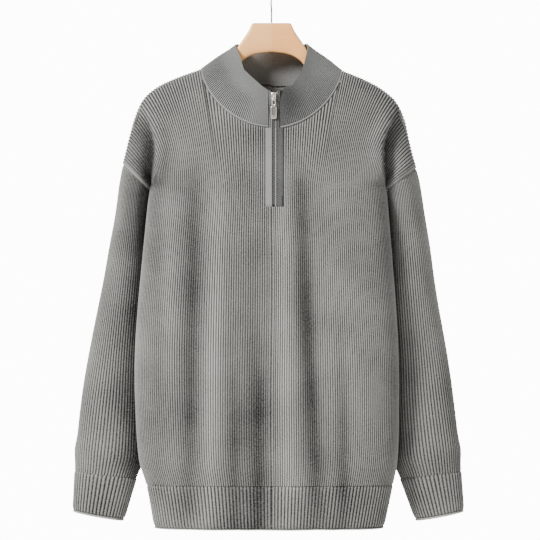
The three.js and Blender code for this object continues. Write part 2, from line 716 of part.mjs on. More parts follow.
function makeCollar() {
  const bottoms = (turn) => collarShareAbove(turn, NECK_WELT_LENGTH + 2 * SEAM_GAP);
  const place = (i, j) => {
    const share = i < COLLAR_ROWS.length ? COLLAR_ROWS[i] : 1;
    const edges = collarEdges(share);
    const turn = THREE.MathUtils.lerp(edges.start, edges.end, j / (COLLAR_COLUMNS - 1));
    return { turn, down: share * bottoms(turn) };
  };
  const collar = clothWall({
    rows: COLLAR_ROWS.length + 1,
    columns: COLLAR_COLUMNS,
    point: (i, j) => collarPoint(place(i, j).turn, place(i, j).down),
    outward: (i, j) => neckOutward(place(i, j).turn),
    wall: COLLAR_WALL,
  });
  addPiece("collar", collar, COLOURS.collar);

  const welt = clothWall({
    rows: 3,
    columns: COLLAR_COLUMNS,
    point: (i, j) => {
      const { turn } = place(COLLAR_ROWS.length, j);
      const above = SEAM_GAP + NECK_WELT_LENGTH * (1 - i / 2);
      const point = collarPoint(turn, collarShareAbove(turn, above));
      return point.addScaledVector(neckOutward(turn), i === 1 ? WELT_PROUD : 0);
    },
    outward: (i, j) => neckOutward(place(COLLAR_ROWS.length, j).turn),
    wall: CLOTH,
  });
  addPiece("neck_welt", welt, COLOURS.collar);
}

// The front's middle line, from the collar's top down over the neckline to the slit's end.
function middleY(drop) {
  const neck = -neckRing(0).z;
  const top = collarTop(0);
  if (drop < neck) return THREE.MathUtils.mapLinear(drop, -top.z, neck, top.y, NECK_FRONT.y);
  const down = (drop - neck) / (UNDERARM_DROP - neck);
  if (down <= 1) return panelPoint(FRONT, 0, down).y;
  return panelPoint(FRONT, 0, 1 + (drop - UNDERARM_DROP) / (HEM_TOP_DROP - UNDERARM_DROP)).y;
}

// A flat strip down the front's middle line, with its face this far in front of it.
function middleStrip(leftX, rightX, drops, proud, wall) {
  return clothWall({
    rows: drops.length,
    columns: 3,
    point: (i, j) => at(THREE.MathUtils.lerp(leftX, rightX, j / 2), middleY(drops[i]) - proud, drops[i]),
    outward: () => new THREE.Vector3(0, -1, 0),
    wall,
  });
}

function makeZip() {
  const neck = -neckRing(0).z;
  const bodyDrops = [neck + 2 * SEAM_GAP, ...STRIP_DROPS, SLIT_BOTTOM_DROP - SEAM_GAP];
  const collarDrops = [ZIP_TOP_DROP + SEAM_GAP, COLLAR_STRIP_DROP, neck - SEAM_GAP];
  const allDrops = [ZIP_TOP_DROP + 1, COLLAR_STRIP_DROP, neck, ...STRIP_DROPS, SLIT_BOTTOM_DROP - 1];
  const chainDrops = allDrops.map((drop, i) => (i === 0 ? SLIDER.drop + SLIDER.height + SEAM_GAP : drop));
  const innerLeft = ZIP_X - ZIP_GAP / 2;
  const innerRight = ZIP_X + ZIP_GAP / 2;

  const facings = [
    ["placket_left", SLIT_LEFT_X + SEAM_GAP, innerLeft, bodyDrops],
    ["placket_right", innerRight, SLIT_RIGHT_X - SEAM_GAP, bodyDrops],
    ["collar_facing_left", innerLeft - COLLAR_FACING_WIDTH, innerLeft, collarDrops],
    ["collar_facing_right", innerRight, innerRight + COLLAR_FACING_WIDTH, collarDrops],
  ];
  for (const [name, left, right, drops] of facings) {
    addPiece(name, middleStrip(left, right, drops, FACING_PROUD, FACING_WALL), COLOURS.facing);
  }
  const tapeBack = SEAM_GAP + FACING_WALL - FACING_PROUD;
  const tape = middleStrip(ZIP_X - TAPE_WIDTH / 2, ZIP_X + TAPE_WIDTH / 2, allDrops, -tapeBack, TAPE_WALL);
  addPiece("zip_tape", tape, COLOURS.tape, 0.8);
  const chainFront = CHAIN_THICKNESS + SEAM_GAP - tapeBack;
  const half = CHAIN_WIDTH / 2;
  const chain = middleStrip(ZIP_X - half, ZIP_X + half, chainDrops, chainFront, CHAIN_THICKNESS);
  addPiece("zip_chain", chain, COLOURS.metal, 0.35, 0.9);
  makeSlider(FACING_PROUD);
}

// A plate in the XZ plane, from its outline, with its back at the given Y.
function plate(shape, thickness, backY, bevel, bevelSegments = 1) {
  const geometry = new THREE.ExtrudeGeometry(shape, {
    depth: thickness - 2 * bevel,
    bevelEnabled: bevel > 0,
    bevelThickness: bevel,
    bevelSize: bevel,
    bevelOffset: -bevel,
    bevelSegments,
    curveSegments: 3,
  });
  geometry.translate(0, 0, bevel);
  geometry.rotateX(Math.PI / 2);
  geometry.translate(0, backY, 0);
  return geometry;
}

function roundedOutline(halfWidth, height, radius, shape = new THREE.Shape()) {
  shape.moveTo(-halfWidth + radius, -height);
  shape.lineTo(halfWidth - radius, -height);
  shape.absarc(halfWidth - radius, -height + radius, radius, -Math.PI / 2, 0, false);
  shape.lineTo(halfWidth, -radius);
  shape.absarc(halfWidth - radius, -radius, radius, 0, Math.PI / 2, false);
  shape.lineTo(-halfWidth + radius, 0);
  shape.absarc(-halfWidth + radius, -radius, radius, Math.PI / 2, Math.PI, false);
  shape.lineTo(-halfWidth, -height + radius);
  shape.absarc(-halfWidth + radius, -height + radius, radius, Math.PI, 1.5 * Math.PI, false);
  return shape;
}

function toSolid(geometry) {
  const bare = geometry.clone();
  bare.deleteAttribute("normal");
  bare.deleteAttribute("uv");
  const merged = mergeVertices(bare, 1e-4);
  return new wasm.Manifold(
    new wasm.Mesh({
      numProp: 3,
      vertProperties: new Float32Array(merged.getAttribute("position").array),
      triVerts: new Uint32Array(merged.index.array),
    }),
  );
}

function toGeometry(solid) {
  const mesh = solid.getMesh();
  const geometry = new THREE.BufferGeometry();
  geometry.setAttribute("position", new THREE.BufferAttribute(new Float32Array(mesh.vertProperties), 3));
  geometry.setIndex(new THREE.BufferAttribute(new Uint32Array(mesh.triVerts), 1));
  return geometry;
}

// A solid across X from an outline whose first axis points forward, along -Y, and whose second points up.
function crossPiece(shape, width) {
  const geometry = new THREE.ExtrudeGeometry(shape, { depth: width, bevelEnabled: false, curveSegments: 8 });
  geometry.translate(0, 0, -width / 2);
  const axes = [new THREE.Vector3(0, -1, 0), new THREE.Vector3(0, 0, 1), new THREE.Vector3(-1, 0, 0)];
  return geometry.applyMatrix4(new THREE.Matrix4().makeBasis(...axes));
}

// The slider lies on the facings at the chain's top, with an arched bridge. The link runs through the bridge and
// carries the pull tab, and both swing about the link's upper bar.
function makeSlider(facingProud) {
  const backY = middleY(SLIDER.drop + SLIDER.height) - facingProud - SEAM_GAP;
  const frontY = backY - SLIDER.thickness;
  const outline = roundedOutline(SLIDER.width / 2, SLIDER.height, SLIDER.corner);
  const body = plate(outline, SLIDER.thickness, backY, SLIDER.bevel).translate(ZIP_X, 0, -SLIDER.drop);

  const half = BRIDGE.height / 2;
  const hole = half - BRIDGE.foot;
  const arch = new THREE.Shape();
  arch.moveTo(-1, -half);
  arch.lineTo(0, -half);
  arch.quadraticCurveTo(2 * BRIDGE.rise, 0, 0, half);
  arch.lineTo(-1, half);
  arch.lineTo(-1, hole);
  arch.lineTo(0, hole);
  arch.quadraticCurveTo(2 * (BRIDGE.rise - BRIDGE.bar), 0, 0, -hole);
  arch.lineTo(-1, -hole);
  arch.closePath();
  const bridgeDrop = SLIDER.drop + BRIDGE.below;
  const bridge = crossPiece(arch, BRIDGE.width).translate(ZIP_X, frontY, -bridgeDrop);
  addPiece("zip_slider", toGeometry(toSolid(body).add(toSolid(bridge))), COLOURS.metal, 0.3, 1);

  const axisY = frontY - LINK.forward;
  const linkTop = bridgeDrop + LINK.lower - LINK.wire / 2;
  const loop = roundedOutline(LINK.halfWidth, LINK.length, LINK.wire);
  const inside = LINK.halfWidth - LINK.wire / 2;
  const opening = new THREE.Path();
  opening.moveTo(-inside, -LINK.length + LINK.wire);
  opening.lineTo(-inside, -LINK.wire);
  opening.lineTo(inside, -LINK.wire);
  opening.lineTo(inside, -LINK.length + LINK.wire);
  opening.closePath();
  loop.holes.push(opening);
  const link = plate(loop, LINK.wire, axisY + LINK.wire / 2, LINK.bevel).translate(ZIP_X, 0, -linkTop);
  addPiece("zip_link", link, COLOURS.metal, 0.3, 1);

  const tabTop = linkTop + LINK.length + SEAM_GAP;
  const tab = roundedOutline(PULL.width / 2, PULL.height, PULL.corner);
  const eye = new THREE.Path();
  eye.absarc(0, -PULL.height + PULL.border + PULL.holeRadius, PULL.holeRadius, 0, 2 * Math.PI, true);
  tab.holes.push(eye);
  const pull = plate(tab, PULL.thickness, axisY + PULL.thickness / 2, PULL.bevel).translate(ZIP_X, 0, -tabTop);
  addPiece("zip_pull", pull, COLOURS.metal, 0.3, 1);
}

// The wood's outline under the shoulders, from the middle of its top round one arm to the middle of its arch.
function woodSide(side) {
  const top = WOOD_TOP.map(({ x, drop }) => [side * x, -drop]);
  const arm = WOOD_SHOULDER_SHARES.map((share) => {
    const point = shoulderPoint(side, share);
    return [point.x, point.z - WOOD_UNDER_SHOULDER];
  });
  const under = WOOD_UNDER.map(({ x, drop }) => [side * x, -drop]);
  return [...top, ...arm, [side * WOOD_END.x, -WOOD_END.drop], ...under];
}

function makeHanger() {
  const right = woodSide(RIGHT);
  const left = woodSide(LEFT).slice(0, -1).reverse();
  const outline = new THREE.Shape([...right, ...left].map(([x, z]) => new THREE.Vector2(x, z)));
  const wood = plate(outline, WOOD_THICKNESS, WOOD_CENTRE_Y + WOOD_THICKNESS / 2, WOOD_ROUNDING, 3);
  addPiece("hanger_wood", wood, COLOURS.wood, 0.45);

  const centre = -HOOK_RADIUS;
  const bend = HOOK_RADIUS + HOOK_WIRE;
  const route = [
    new THREE.Vector3(0, 0, -(WOOD_TOP[0].drop - SEAM_GAP)),
    new THREE.Vector3(0, 0, -HOOK_LEAD_DROP),
    new THREE.Vector3(0, 0, -HOOK_STRAIGHT_DROP),
    ...HOOK_BEND.map(({ x, drop }) => new THREE.Vector3(bend * x, 0, -bend * drop)),
  ];
  for (let turn = 0; turn <= HOOK_END_TURN; turn += HOOK_TURN_STEP) {
    const angle = THREE.MathUtils.degToRad(turn);
    route.push(new THREE.Vector3(bend * Math.cos(angle), 0, centre + bend * Math.sin(angle)));
  }
  const section = new THREE.Shape();
  section.absarc(0, 0, HOOK_WIRE, 0, 2 * Math.PI, false);
  const hook = new THREE.ExtrudeGeometry(section, {
    extrudePath: new THREE.CatmullRomCurve3(route, false, "centripetal"),
    steps: HOOK_STEPS,
    curveSegments: 4,
    bevelEnabled: false,
  });
  addPiece("hanger_hook", hook, COLOURS.metal, 0.3, 1);
}

makePanels();
makeSleeve(LEFT);
makeSleeve(RIGHT);
for (const side of [LEFT, RIGHT]) {
  makeHem(`hem_front_${sideKey(side)}`, FRONT, side);
  makeHem(`hem_back_${sideKey(side)}`, BACK, side);
}
makeCollar();
makeZip();
makeHanger();

export default group;
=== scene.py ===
"""A quarter zip sweater in ribbed knit on a wooden hanger, dressed over its CAD frame.

Shapes are worked out in millimetres, with -Y towards the viewer and +Z up, and turned to metres when a mesh is made.
A drop is a distance below the origin, which is the inside of the hook's crown. Left is -X.
"""
import logging
import math
from collections.abc import Sequence
from dataclasses import dataclass, field
from enum import Enum

import bpy
import numpy as np
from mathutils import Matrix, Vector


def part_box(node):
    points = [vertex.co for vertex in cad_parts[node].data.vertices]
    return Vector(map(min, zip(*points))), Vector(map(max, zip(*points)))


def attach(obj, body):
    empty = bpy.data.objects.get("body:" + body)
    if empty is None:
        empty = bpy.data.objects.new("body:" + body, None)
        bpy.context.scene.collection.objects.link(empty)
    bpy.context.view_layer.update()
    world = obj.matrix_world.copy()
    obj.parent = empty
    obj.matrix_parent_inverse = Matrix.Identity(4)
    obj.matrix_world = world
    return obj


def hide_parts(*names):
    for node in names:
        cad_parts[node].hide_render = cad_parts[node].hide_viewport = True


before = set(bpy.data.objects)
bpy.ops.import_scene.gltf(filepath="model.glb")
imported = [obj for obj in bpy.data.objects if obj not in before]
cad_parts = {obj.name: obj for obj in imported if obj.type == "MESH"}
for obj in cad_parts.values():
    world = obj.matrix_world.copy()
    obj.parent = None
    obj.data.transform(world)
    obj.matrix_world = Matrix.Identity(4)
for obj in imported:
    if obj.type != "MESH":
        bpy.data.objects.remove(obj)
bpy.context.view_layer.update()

LOG = logging.getLogger("sweater")
Array = np.ndarray
MM = 0.001
SWEATER = "sweater"
PULL = "pull"


class Side(Enum):
    """The wearer's garment seen from the front: left is towards -X."""

    LEFT = -1
    RIGHT = 1

    @property
    def key(self) -> str:
        """The side's name as the tables and the nodes write it."""
        return self.name.lower()


class Face(Enum):
    """The half of the body that a piece lies on, by the way it faces along Y."""

    FRONT = -1
    BACK = 1


def lerp(start: Array | float, end: Array | float, share: Array | float) -> Array:
    """Start plus the share of the way to end."""
    return start + (end - start) * share


def smooth(place: Array, low: float, high: float) -> Array:
    """A soft step: 0 below low, 1 above high, and three squares less two cubes of the share between."""
    share = np.clip((place - low) / (high - low), 0, 1)
    return share * share * (3 - 2 * share)


def bell(place: Array, middle: Array | float, width: Array | float) -> Array:
    """A bell: e to the power of minus the square of the distance from the middle in widths."""
    return np.exp(-(((place - middle) / width) ** 2))


def unit(vectors: Array) -> Array:
    """Vectors divided by their own lengths."""
    return vectors / np.maximum(np.linalg.norm(vectors, axis=-1, keepdims=True), 1e-9)


def normals(points: Array, closed: bool = False) -> Array:
    """The ways out of a grid of points, as the cross product of its slopes down the rows and along the columns.

    Args:
        points: rows by columns by 3, rows running down and columns anticlockwise seen from above.
        closed: whether the last column meets the first.

    Returns:
        Unit vectors of the same shape.
    """
    down = np.gradient(points, axis=0)
    if closed:
        around = np.roll(points, -1, axis=1) - np.roll(points, 1, axis=1)
    else:
        around = np.gradient(points, axis=1)
    return unit(np.cross(down, around))


@dataclass(frozen=True)
class Table:
    """Rows of sizes with a name for each column, read on a smooth curve through the rows."""

    names: str
    rows: tuple[tuple[float, ...], ...]

    def column(self, name: str) -> Array:
        """One column's numbers from the first row to the last."""
        place = self.names.split().index(name)
        return np.array([row[place] for row in self.rows])

    def read(self, name: str, place: Array) -> Array:
        """A cubic between two rows whose slope at a row is that of the line through its neighbours.

        Args:
            name: the column that is read.
            place: where, in terms of the first column.

        Returns:
            The column's value there, held at the ends.
        """
        places = self.column(self.names.split()[0])
        values = self.column(name)
        last = len(places) - 1
        before = np.maximum(np.arange(last + 1) - 1, 0)
        after = np.minimum(np.arange(last + 1) + 1, last)
        slopes = (values[after] - values[before]) / (places[after] - places[before])
        row = np.clip(np.searchsorted(places, place) - 1, 0, last - 1)
        span = places[row + 1] - places[row]
        share = np.clip((place - places[row]) / span, 0, 1)
        rise = share * share * (3 - 2 * share)
        leave = share * (1 - share) ** 2 * span * slopes[row]
        arrive = share * share * (1 - share) * span * slopes[row + 1]
        return values[row] + (values[row + 1] - values[row]) * rise + leave - arrive


CLOTH = 2.6
SEAM_GAP = 0.3
UNDERARM_DROP = 338.9
HEM_TOP_DROP = 791.5
HEM_BOTTOM_DROP = 859.0
NECK_SHARE = 0.37
SHOULDER_CROWDING = 0.22
FAN_START = 0.085
RIB_LEAN = 1.3
FRONT_SHARE = 0.5
SIDE_CROWDING = 0.06
SIDE_Y = -8.0
SECTION_POWER = 2.8
BODY = Table("drop left right front back", (
    (338.9, 184.4, 174.0, 55, 52),
    (397, 190.5, 178.6, 58, 54),
    (444, 195.1, 182.5, 58, 54),
    (524, 202.5, 188.4, 56, 53),
    (591, 206.6, 192.0, 54, 51),
    (664, 206.6, 193.0, 52, 49),
    (756, 200.6, 190.8, 50, 47),
    (795.3, 189.0, 183.5, 46, 43),
    (863.7, 176.7, 169.1, 44, 41),
))
SHOULDER = Table("share leftX leftDrop rightX rightDrop", (
    (0.37, 107.9, 159.3, 107.9, 161.5),
    (0.49, 145.5, 173.0, 141.5, 175.2),
    (0.6, 175.2, 187.4, 168.5, 190.0),
    (0.69, 196.0, 206.0, 189.5, 208.5),
    (0.785, 208.5, 234.0, 202.5, 236.0),
    (0.89, 217.5, 265.5, 210.5, 270.5),
    (1.0, 225.7, 299.1, 219.6, 305.0),
))
SLEEVE = Table("drop leftOut leftIn rightOut rightIn tilt y depth front", (
    (334, 232.5, 190, 227.0, 179.5, 36, 7, 49, 0.72),
    (385, 240.5, 190, 236.0, 178.5, 22, 21, 45, 0.86),
    (444, 253.2, 190, 247.1, 177.0, 16, 30, 41, 0.96),
    (518, 267.0, 193, 257.8, 179.5, 13, 34, 38, 1),
    (591, 279.2, 195, 268.5, 181.5, 12, 34, 36, 1),
    (665, 291.5, 194, 279.2, 181.0, 12, 32, 34, 1),
    (738, 301.0, 197, 289.5, 186.0, 12, 27, 33, 1),
    (774, 302.0, 208, 291.0, 198.0, 11, 23, 26, 1),
    (837.5, 305.0, 228, 295.4, 222.6, 14, 21, 22, 1),
))
CUFF_ROW = 7
ARMHOLE_DEPTH = 52.0
ARMHOLE_FRONT = 0.64
WELT_LENGTH = 4.4
WELT_PROUD = 1.0
UNDERARM_CLEARANCE = 1.2
NECK_HALF_WIDTH = 107.9
NECK_WELT_LENGTH = 3.0
NECK_POWERS = {Face.FRONT: (-56.0, 91.7, 1.28, 0.75), Face.BACK: (38.0, 23.0, 1.2, 1.0)}
COLLAR_WALL = 3.2
COLLAR_BULGE = 3.0
COLLAR_TOP = Table("turn leftX leftDrop rightX rightDrop y", (
    (0, 2, 197, 2, 197.5, -53),
    (14, 13.5, 189, 11, 195.5, -50.5),
    (27, 25, 178.5, 22, 188.8, -46),
    (36, 32, 172, 31, 186.5, -42),
    (42, 36, 168, 35.5, 180.5, -39),
    (52, 42, 161, 43.5, 167.5, -33),
    (68, 47.5, 142, 50.5, 149, -20),
    (90, 55, 121.5, 56, 121.5, -1),
    (135, 41, 121, 41, 121, 23),
    (180, 0, 123, 0, 123, 32),
))
ZIP_X = 4.3
ZIP_GAP = 6.4
ZIP_TOP_DROP = 197.0
SLIT_X = (-9.8, 18.5)
SLIT_BOTTOM_DROP = 371.0
# Painted light and shade of the knit's tone: the inner face's painted shade, the power that narrows the crests' painted
# light and widens the grooves' painted shade, the crests' painted light, and the yoke's extra painted light.
INSIDE_SHADE_TONE = 0.45
TONE_POWER = 1.5
CREST_TONE = 0.6
YOKE_LIGHT_GAIN = 0.12
RIB_WANDER = 0.9

# Long folds of the hanging body: where each starts and ends, its width and how far it sinks. A ridge is negative.
FOLD_NAMES = "top bottom topX bottomX width depth"
FOLDS = {
    Face.FRONT: Table(FOLD_NAMES, (
        (310, 830, -116, -125, 16, 7.0),
        (290, 860, 44, 71, 15, 9.5),
        (560, 900, -56, -54, 11, 3.5),
        (420, 860, -24, -18, 14, 4.5),
        (520, 860, 108, 109, 12, 4.5),
        (320, 860, 16, 26, 14, -3.5),
        (320, 840, -84, -92, 13, -3.5),
        (340, 700, -154, -150, 14, -3.0),
    )),
    Face.BACK: Table(FOLD_NAMES, (
        (280, 820, -60, -74, 17, 6.0),
        (320, 830, 74, 92, 16, 5.0),
        (380, 800, 8, 14, 15, 3.5),
        (420, 790, 128, 134, 14, 3.0),
        (360, 800, -118, -126, 15, 3.5),
    )),
}

# How the folds catch the light from the upper left: a share less in a hollow, more on a ridge above 0.
LIGHT_NAMES = "top bottom topX bottomX width light"
FOLD_LIGHT = {
    Face.FRONT: Table(LIGHT_NAMES, (
        (290, 850, -114, -124, 14, -0.7),
        (290, 880, 42, 73, 14, -0.85),
        (300, 850, -77, -92, 12, 0.75),
        (300, 890, 18, 27, 14, 0.65),
        (300, 640, -154, -150, 14, 0.25),
        (400, 900, -36, -34, 30, -0.42),
        (560, 960, -18, -17, 12, -0.5),
        (600, 960, -58, -52, 10, -0.35),
        (600, 880, 109, 109, 10, -0.5),
        (60, 760, 95, 92, 50, 0.2),
        (320, 800, -172, -172, 14, -0.25),
    )),
    Face.BACK: Table(LIGHT_NAMES, (
        (280, 840, -60, -74, 17, -0.45),
        (320, 860, 74, 92, 16, -0.4),
        (380, 900, 8, 14, 15, -0.3),
        (420, 830, 128, 134, 14, -0.25),
        (360, 820, -118, -126, 15, -0.25),
        (300, 860, -28, -36, 15, 0.35),
        (320, 880, 42, 52, 14, 0.35),
    )),
}


@dataclass(frozen=True)
class ArmpitFold:
    """The fold where the chest's edge stands in front of the dropped shoulder, by shares of the half panel."""

    share: float = 0.83
    width: float = 0.07
    depth: float = 2.0
    blend: tuple[float, float] = (0.62, 0.97)
    sink: float = 25.0
    lip: float = 3.5
    shade: float = 0.8
    shade_left: float = 38.0
    shade_right: float = 13.0
    edge: Table = Table("drop left right", (
        (205, 199, 193), (220, 192, 187.5), (237, 185.5, 181.5), (258, 178.5, 173), (281, 175, 167.6),
        (310, 176.5, 168), (339, 181.5, 172),
    ))


@dataclass
class Ring:
    """A tilted oval: a middle, a reach to its outer point, and a half depth along Y, one of each for a row."""

    middle: Array
    reach: Array
    depth: Array
    front: float = 1.0

    def point(self, turn: Array) -> Array:
        """Middle plus reach by the cosine of the turn, less depth by its sine along Y, flatter in front."""
        place = self.middle + self.reach * np.cos(turn)[..., None]
        flat = np.where(np.sin(turn) > 0, self.front, 1.0)
        place[..., 1] -= np.squeeze(self.depth, -1) * flat * np.sin(turn)
        return place

    @staticmethod
    def between(outer: Array, inner: Array, depth: Array, front: float = 1.0) -> "Ring":
        """The oval through an outer and an inner point."""
        middle = (outer + inner) / 2
        return Ring(middle, outer - middle, np.asarray(depth, float)[..., None], front)


@dataclass
class SweaterForm:
    """The surfaces that every piece of the sweater lies on, close to those of the CAD model."""

    armpit: ArmpitFold = field(default_factory=ArmpitFold)
    steps: int = 400

    def __post_init__(self) -> None:
        """Measures the body's oval once, so that a share of its length gives its angle."""
        self.turns = np.linspace(0, math.pi, self.steps + 1)
        oval = self.oval(self.turns) * np.array([BODY.rows[3][1], BODY.rows[3][3]])
        lengths = np.linalg.norm(np.diff(oval, axis=0), axis=1)
        self.lengths = np.concatenate([[0.0], np.cumsum(lengths)])

    @staticmethod
    def oval(turn: Array) -> Array:
        """A flattened oval: sine and minus cosine, each to the power of two over the section's power."""
        power = 2 / SECTION_POWER
        across = np.maximum(np.sin(turn), 0) ** power
        along = -np.sign(np.cos(turn)) * np.abs(np.cos(turn)) ** power
        return np.stack([across, along], -1)

    def body(self, side: Array, share: Array, drop: Array) -> Array:
        """A point of the body's tube.

        Args:
            side: -1 or 1 for each point.
            share: the share of the way round from the front's middle to the back's.
            drop: the level.

        Returns:
            Points in millimetres.
        """
        side, share, drop = np.broadcast_arrays(side, share, drop)
        oval = self.oval(np.interp(share * self.lengths[-1], self.lengths, self.turns))
        half = np.where(side < 0, BODY.read("left", drop), BODY.read("right", drop))
        depth = np.where(oval[..., 1] < 0, BODY.read("front", drop), BODY.read("back", drop))
        return np.stack([side * half * oval[..., 0], SIDE_Y + oval[..., 1] * depth, -drop], -1)

    @staticmethod
    def panel_share(face: Face, share: Array) -> Array:
        """A panel's share turned to a share of the way round the body, a little crowded at the side seam."""
        crowded = (1 + SIDE_CROWDING) * share - SIDE_CROWDING * share ** 6
        return FRONT_SHARE * crowded if face is Face.FRONT else 1 - (1 - FRONT_SHARE) * crowded

    @staticmethod
    def neck(face: Face, side: Array, across: Array) -> Array:
        """A point of the neckline, which dips by a power of its distance from the shoulder point."""
        reach, dip, power, swell = NECK_POWERS[face]
        forward = np.sqrt(np.maximum(1 - across * across, 0))
        level = np.where(side < 0, SHOULDER.rows[0][2], SHOULDER.rows[0][4])
        drop = level + dip * forward ** power
        x = side * NECK_HALF_WIDTH * across
        return np.stack(np.broadcast_arrays(x, reach * forward ** swell, -drop), -1)

    @staticmethod
    def shoulder(side: Array, share: Array) -> Array:
        """A point of the shoulder line and of the dropped shoulder's outer edge."""
        side, share = np.broadcast_arrays(side, share)
        across = np.where(side < 0, SHOULDER.read("leftX", share), SHOULDER.read("rightX", share))
        drop = np.where(side < 0, SHOULDER.read("leftDrop", share), SHOULDER.read("rightDrop", share))
        return np.stack([side * across, np.zeros(side.shape), -drop], -1)

    def armhole(self, side: Array) -> Ring:
        """The oval of the armhole seam."""
        outer = self.shoulder(side, 1.0)
        inner = self.body(side, FRONT_SHARE, UNDERARM_DROP)
        return Ring.between(outer, inner, np.full(np.shape(side), ARMHOLE_DEPTH), ARMHOLE_FRONT)

    def neck_across(self, face: Face, side: Array, share: Array) -> Array:
        """How far across the neckline a rib ends: upright in the middle, and fanning out to the neck point."""
        below = np.abs(self.body(side, self.panel_share(face, share), UNDERARM_DROP)[..., 0])
        limit = self.panel_share(face, np.full(np.shape(share), NECK_SHARE))
        end = np.abs(self.body(side, limit, UNDERARM_DROP)[..., 0])
        reach = np.maximum(share - FAN_START, 0) / (NECK_SHARE - FAN_START)
        fan = 0.5 * reach ** 1.2 + 0.5 * reach ** 6
        return (below + (NECK_HALF_WIDTH - end) * fan) / NECK_HALF_WIDTH

    @staticmethod
    def along_folds(table: Table, x: Array, drop: Array, power: float) -> Array:
        """The sum of bells across each fold's line, each swelling and ending along it as a power of a sine."""
        total = np.zeros(np.shape(x))
        for top, bottom, top_x, bottom_x, width, amount in table.rows:
            share = np.clip((drop - top) / (bottom - top), 0, 1)
            swell = np.sin(math.pi * share) ** power
            total = total + amount * swell * bell(x, lerp(top_x, bottom_x, share), width)
        return total

    def fold(self, face: Face, x: Array, drop: Array) -> Array:
        """How far the long folds sink."""
        return self.along_folds(FOLDS[face], x, drop, 0.7)

    def panel(self, face: Face, across: Array, down: Array) -> Array:
        """A panel's sheet of two shares.

        Between the shoulder and the underarm it is a straight line from one to the other, brought forward on a round
        curve and drawn on to the armhole's oval at its edge. Below the underarm it is the body's tube with its folds.

        Args:
            face: front or back.
            across: -1 at the left armhole to 1 at the right one.
            down: 0 at the neckline and shoulder, 1 at the underarm, 2 at the hem band.

        Returns:
            Points in millimetres.
        """
        across, down = np.broadcast_arrays(across, down)
        side = np.where(across < 0, -1.0, 1.0)
        share = np.minimum(np.abs(across), 1)
        oval = self.panel_share(face, share)
        toward = face.value

        drop = lerp(UNDERARM_DROP, HEM_TOP_DROP, np.maximum(down - 1, 0))
        low = self.body(side, oval, drop)
        wander = np.sin(drop / 62 + low[..., 0] / 45) * (1 - share ** 4) * smooth(drop, 375, 430)
        low[..., 0] += RIB_WANDER * wander
        low[..., 1] -= toward * self.fold(face, low[..., 0], drop)

        upper = np.minimum(down, 1)
        under = self.body(side, oval, UNDERARM_DROP)
        neck_across = self.neck_across(face, side, np.minimum(share, NECK_SHARE))
        at_neck = share <= NECK_SHARE
        along = np.maximum(share - NECK_SHARE, 0) / (1 - NECK_SHARE)
        crowded = NECK_SHARE + (1 - NECK_SHARE) * (along - SHOULDER_CROWDING * along * (1 - along) ** 2)
        top = np.where(at_neck[..., None], self.neck(face, side, neck_across), self.shoulder(side, crowded))
        point = lerp(top, under, upper[..., None])
        lean = 1 + RIB_LEAN * smooth(share, 0.25, 0.75) * (1 - smooth(share, 0.86, 1.0))
        point[..., 0] = lerp(top[..., 0], under[..., 0], 1 - (1 - upper) ** lean)
        forwardness = np.where(at_neck, np.sqrt(np.maximum(1 - neck_across ** 2, 0)), 0)
        roundness = lerp(0.6, 1.0, np.minimum(forwardness / 0.4, 1))
        forward = (1 - (1 - upper) ** 2) ** roundness
        point[..., 1] = lerp(top[..., 1], under[..., 1], forward)

        fold = self.armpit
        open_share = np.sin(math.pi * upper)
        point[..., 1] -= toward * fold.depth * open_share * bell(share, fold.share, fold.width)
        point[..., 1] -= toward * self.fold(face, point[..., 0], -point[..., 2])

        edge = self.armhole(side)
        seam = edge.point(-toward * math.pi * upper)
        start = edge.point(np.zeros(side.shape))
        end = edge.point(np.full(side.shape, math.pi))
        straight = lerp(start, end, upper[..., None])
        straight[..., 1] = lerp(start[..., 1], end[..., 1], forward)
        straight[..., 1] -= toward * fold.depth * open_share * bell(1.0, fold.share, fold.width)
        point = point + (seam - straight) * smooth(share, *fold.blend)[..., None]
        point[..., 1] -= toward * self.chest_edge(side, share, upper, point)
        return np.where((down > 1)[..., None], low, point)

    def chest_edge(self, side: Array, share: Array, upper: Array, point: Array) -> Array:
        """How far the dropped shoulder sinks beside the chest's edge, and, below 0, how far the edge stands up.

        The sink is a soft step just outside the edge's line times a bell that fades towards the sleeve. The lip is a
        bell just inside it. Both swell below the shoulder and end at the underarm and at the armhole seam.

        Args:
            side: -1 or 1 for each point.
            share: the share of the half panel.
            upper: 0 at the shoulder to 1 at the underarm.
            point: where the points are before the fold.

        Returns:
            Millimetres back from the face.
        """
        fold = self.armpit
        drop = -point[..., 2]
        edge = np.where(side < 0, fold.edge.read("left", drop), fold.edge.read("right", drop))
        beyond = np.abs(point[..., 0]) - edge
        swell = smooth(drop, 206, 262) * (1 - smooth(upper, 0.86, 1.0)) * smooth(share, 0.45, 0.6)
        step = smooth(beyond, -2.0, 4.0) * smooth(1 - share, 0, 0.08)
        step = step * np.exp(-((np.maximum(beyond, 0) / 24) ** 2))
        return swell * (fold.sink * step - fold.lip * bell(beyond, -9.0, 9.0))

    def fold_light(self, face: Face, points: Array) -> Array:
        """How much light the long folds catch."""
        return 1 + self.along_folds(FOLD_LIGHT[face], points[..., 0], -points[..., 2], 0.5)

    def crease_shade(self, points: Array) -> Array:
        """How much light is left in the crease beside the chest's edge, where little reaches the yarn."""
        drop = -points[..., 2]
        left = points[..., 0] < 0
        fold = self.armpit
        edge = np.where(left, fold.edge.read("left", drop), fold.edge.read("right", drop))
        beyond = np.abs(points[..., 0]) - edge
        deep = smooth(drop, 212, 275) * (1 - smooth(drop, 336, 342)) * smooth(beyond, -3.0, 1.0)
        width = np.where(left, fold.shade_left, fold.shade_right)
        return 1 - fold.shade * deep * np.exp(-((np.maximum(beyond, 0) / width) ** 2))

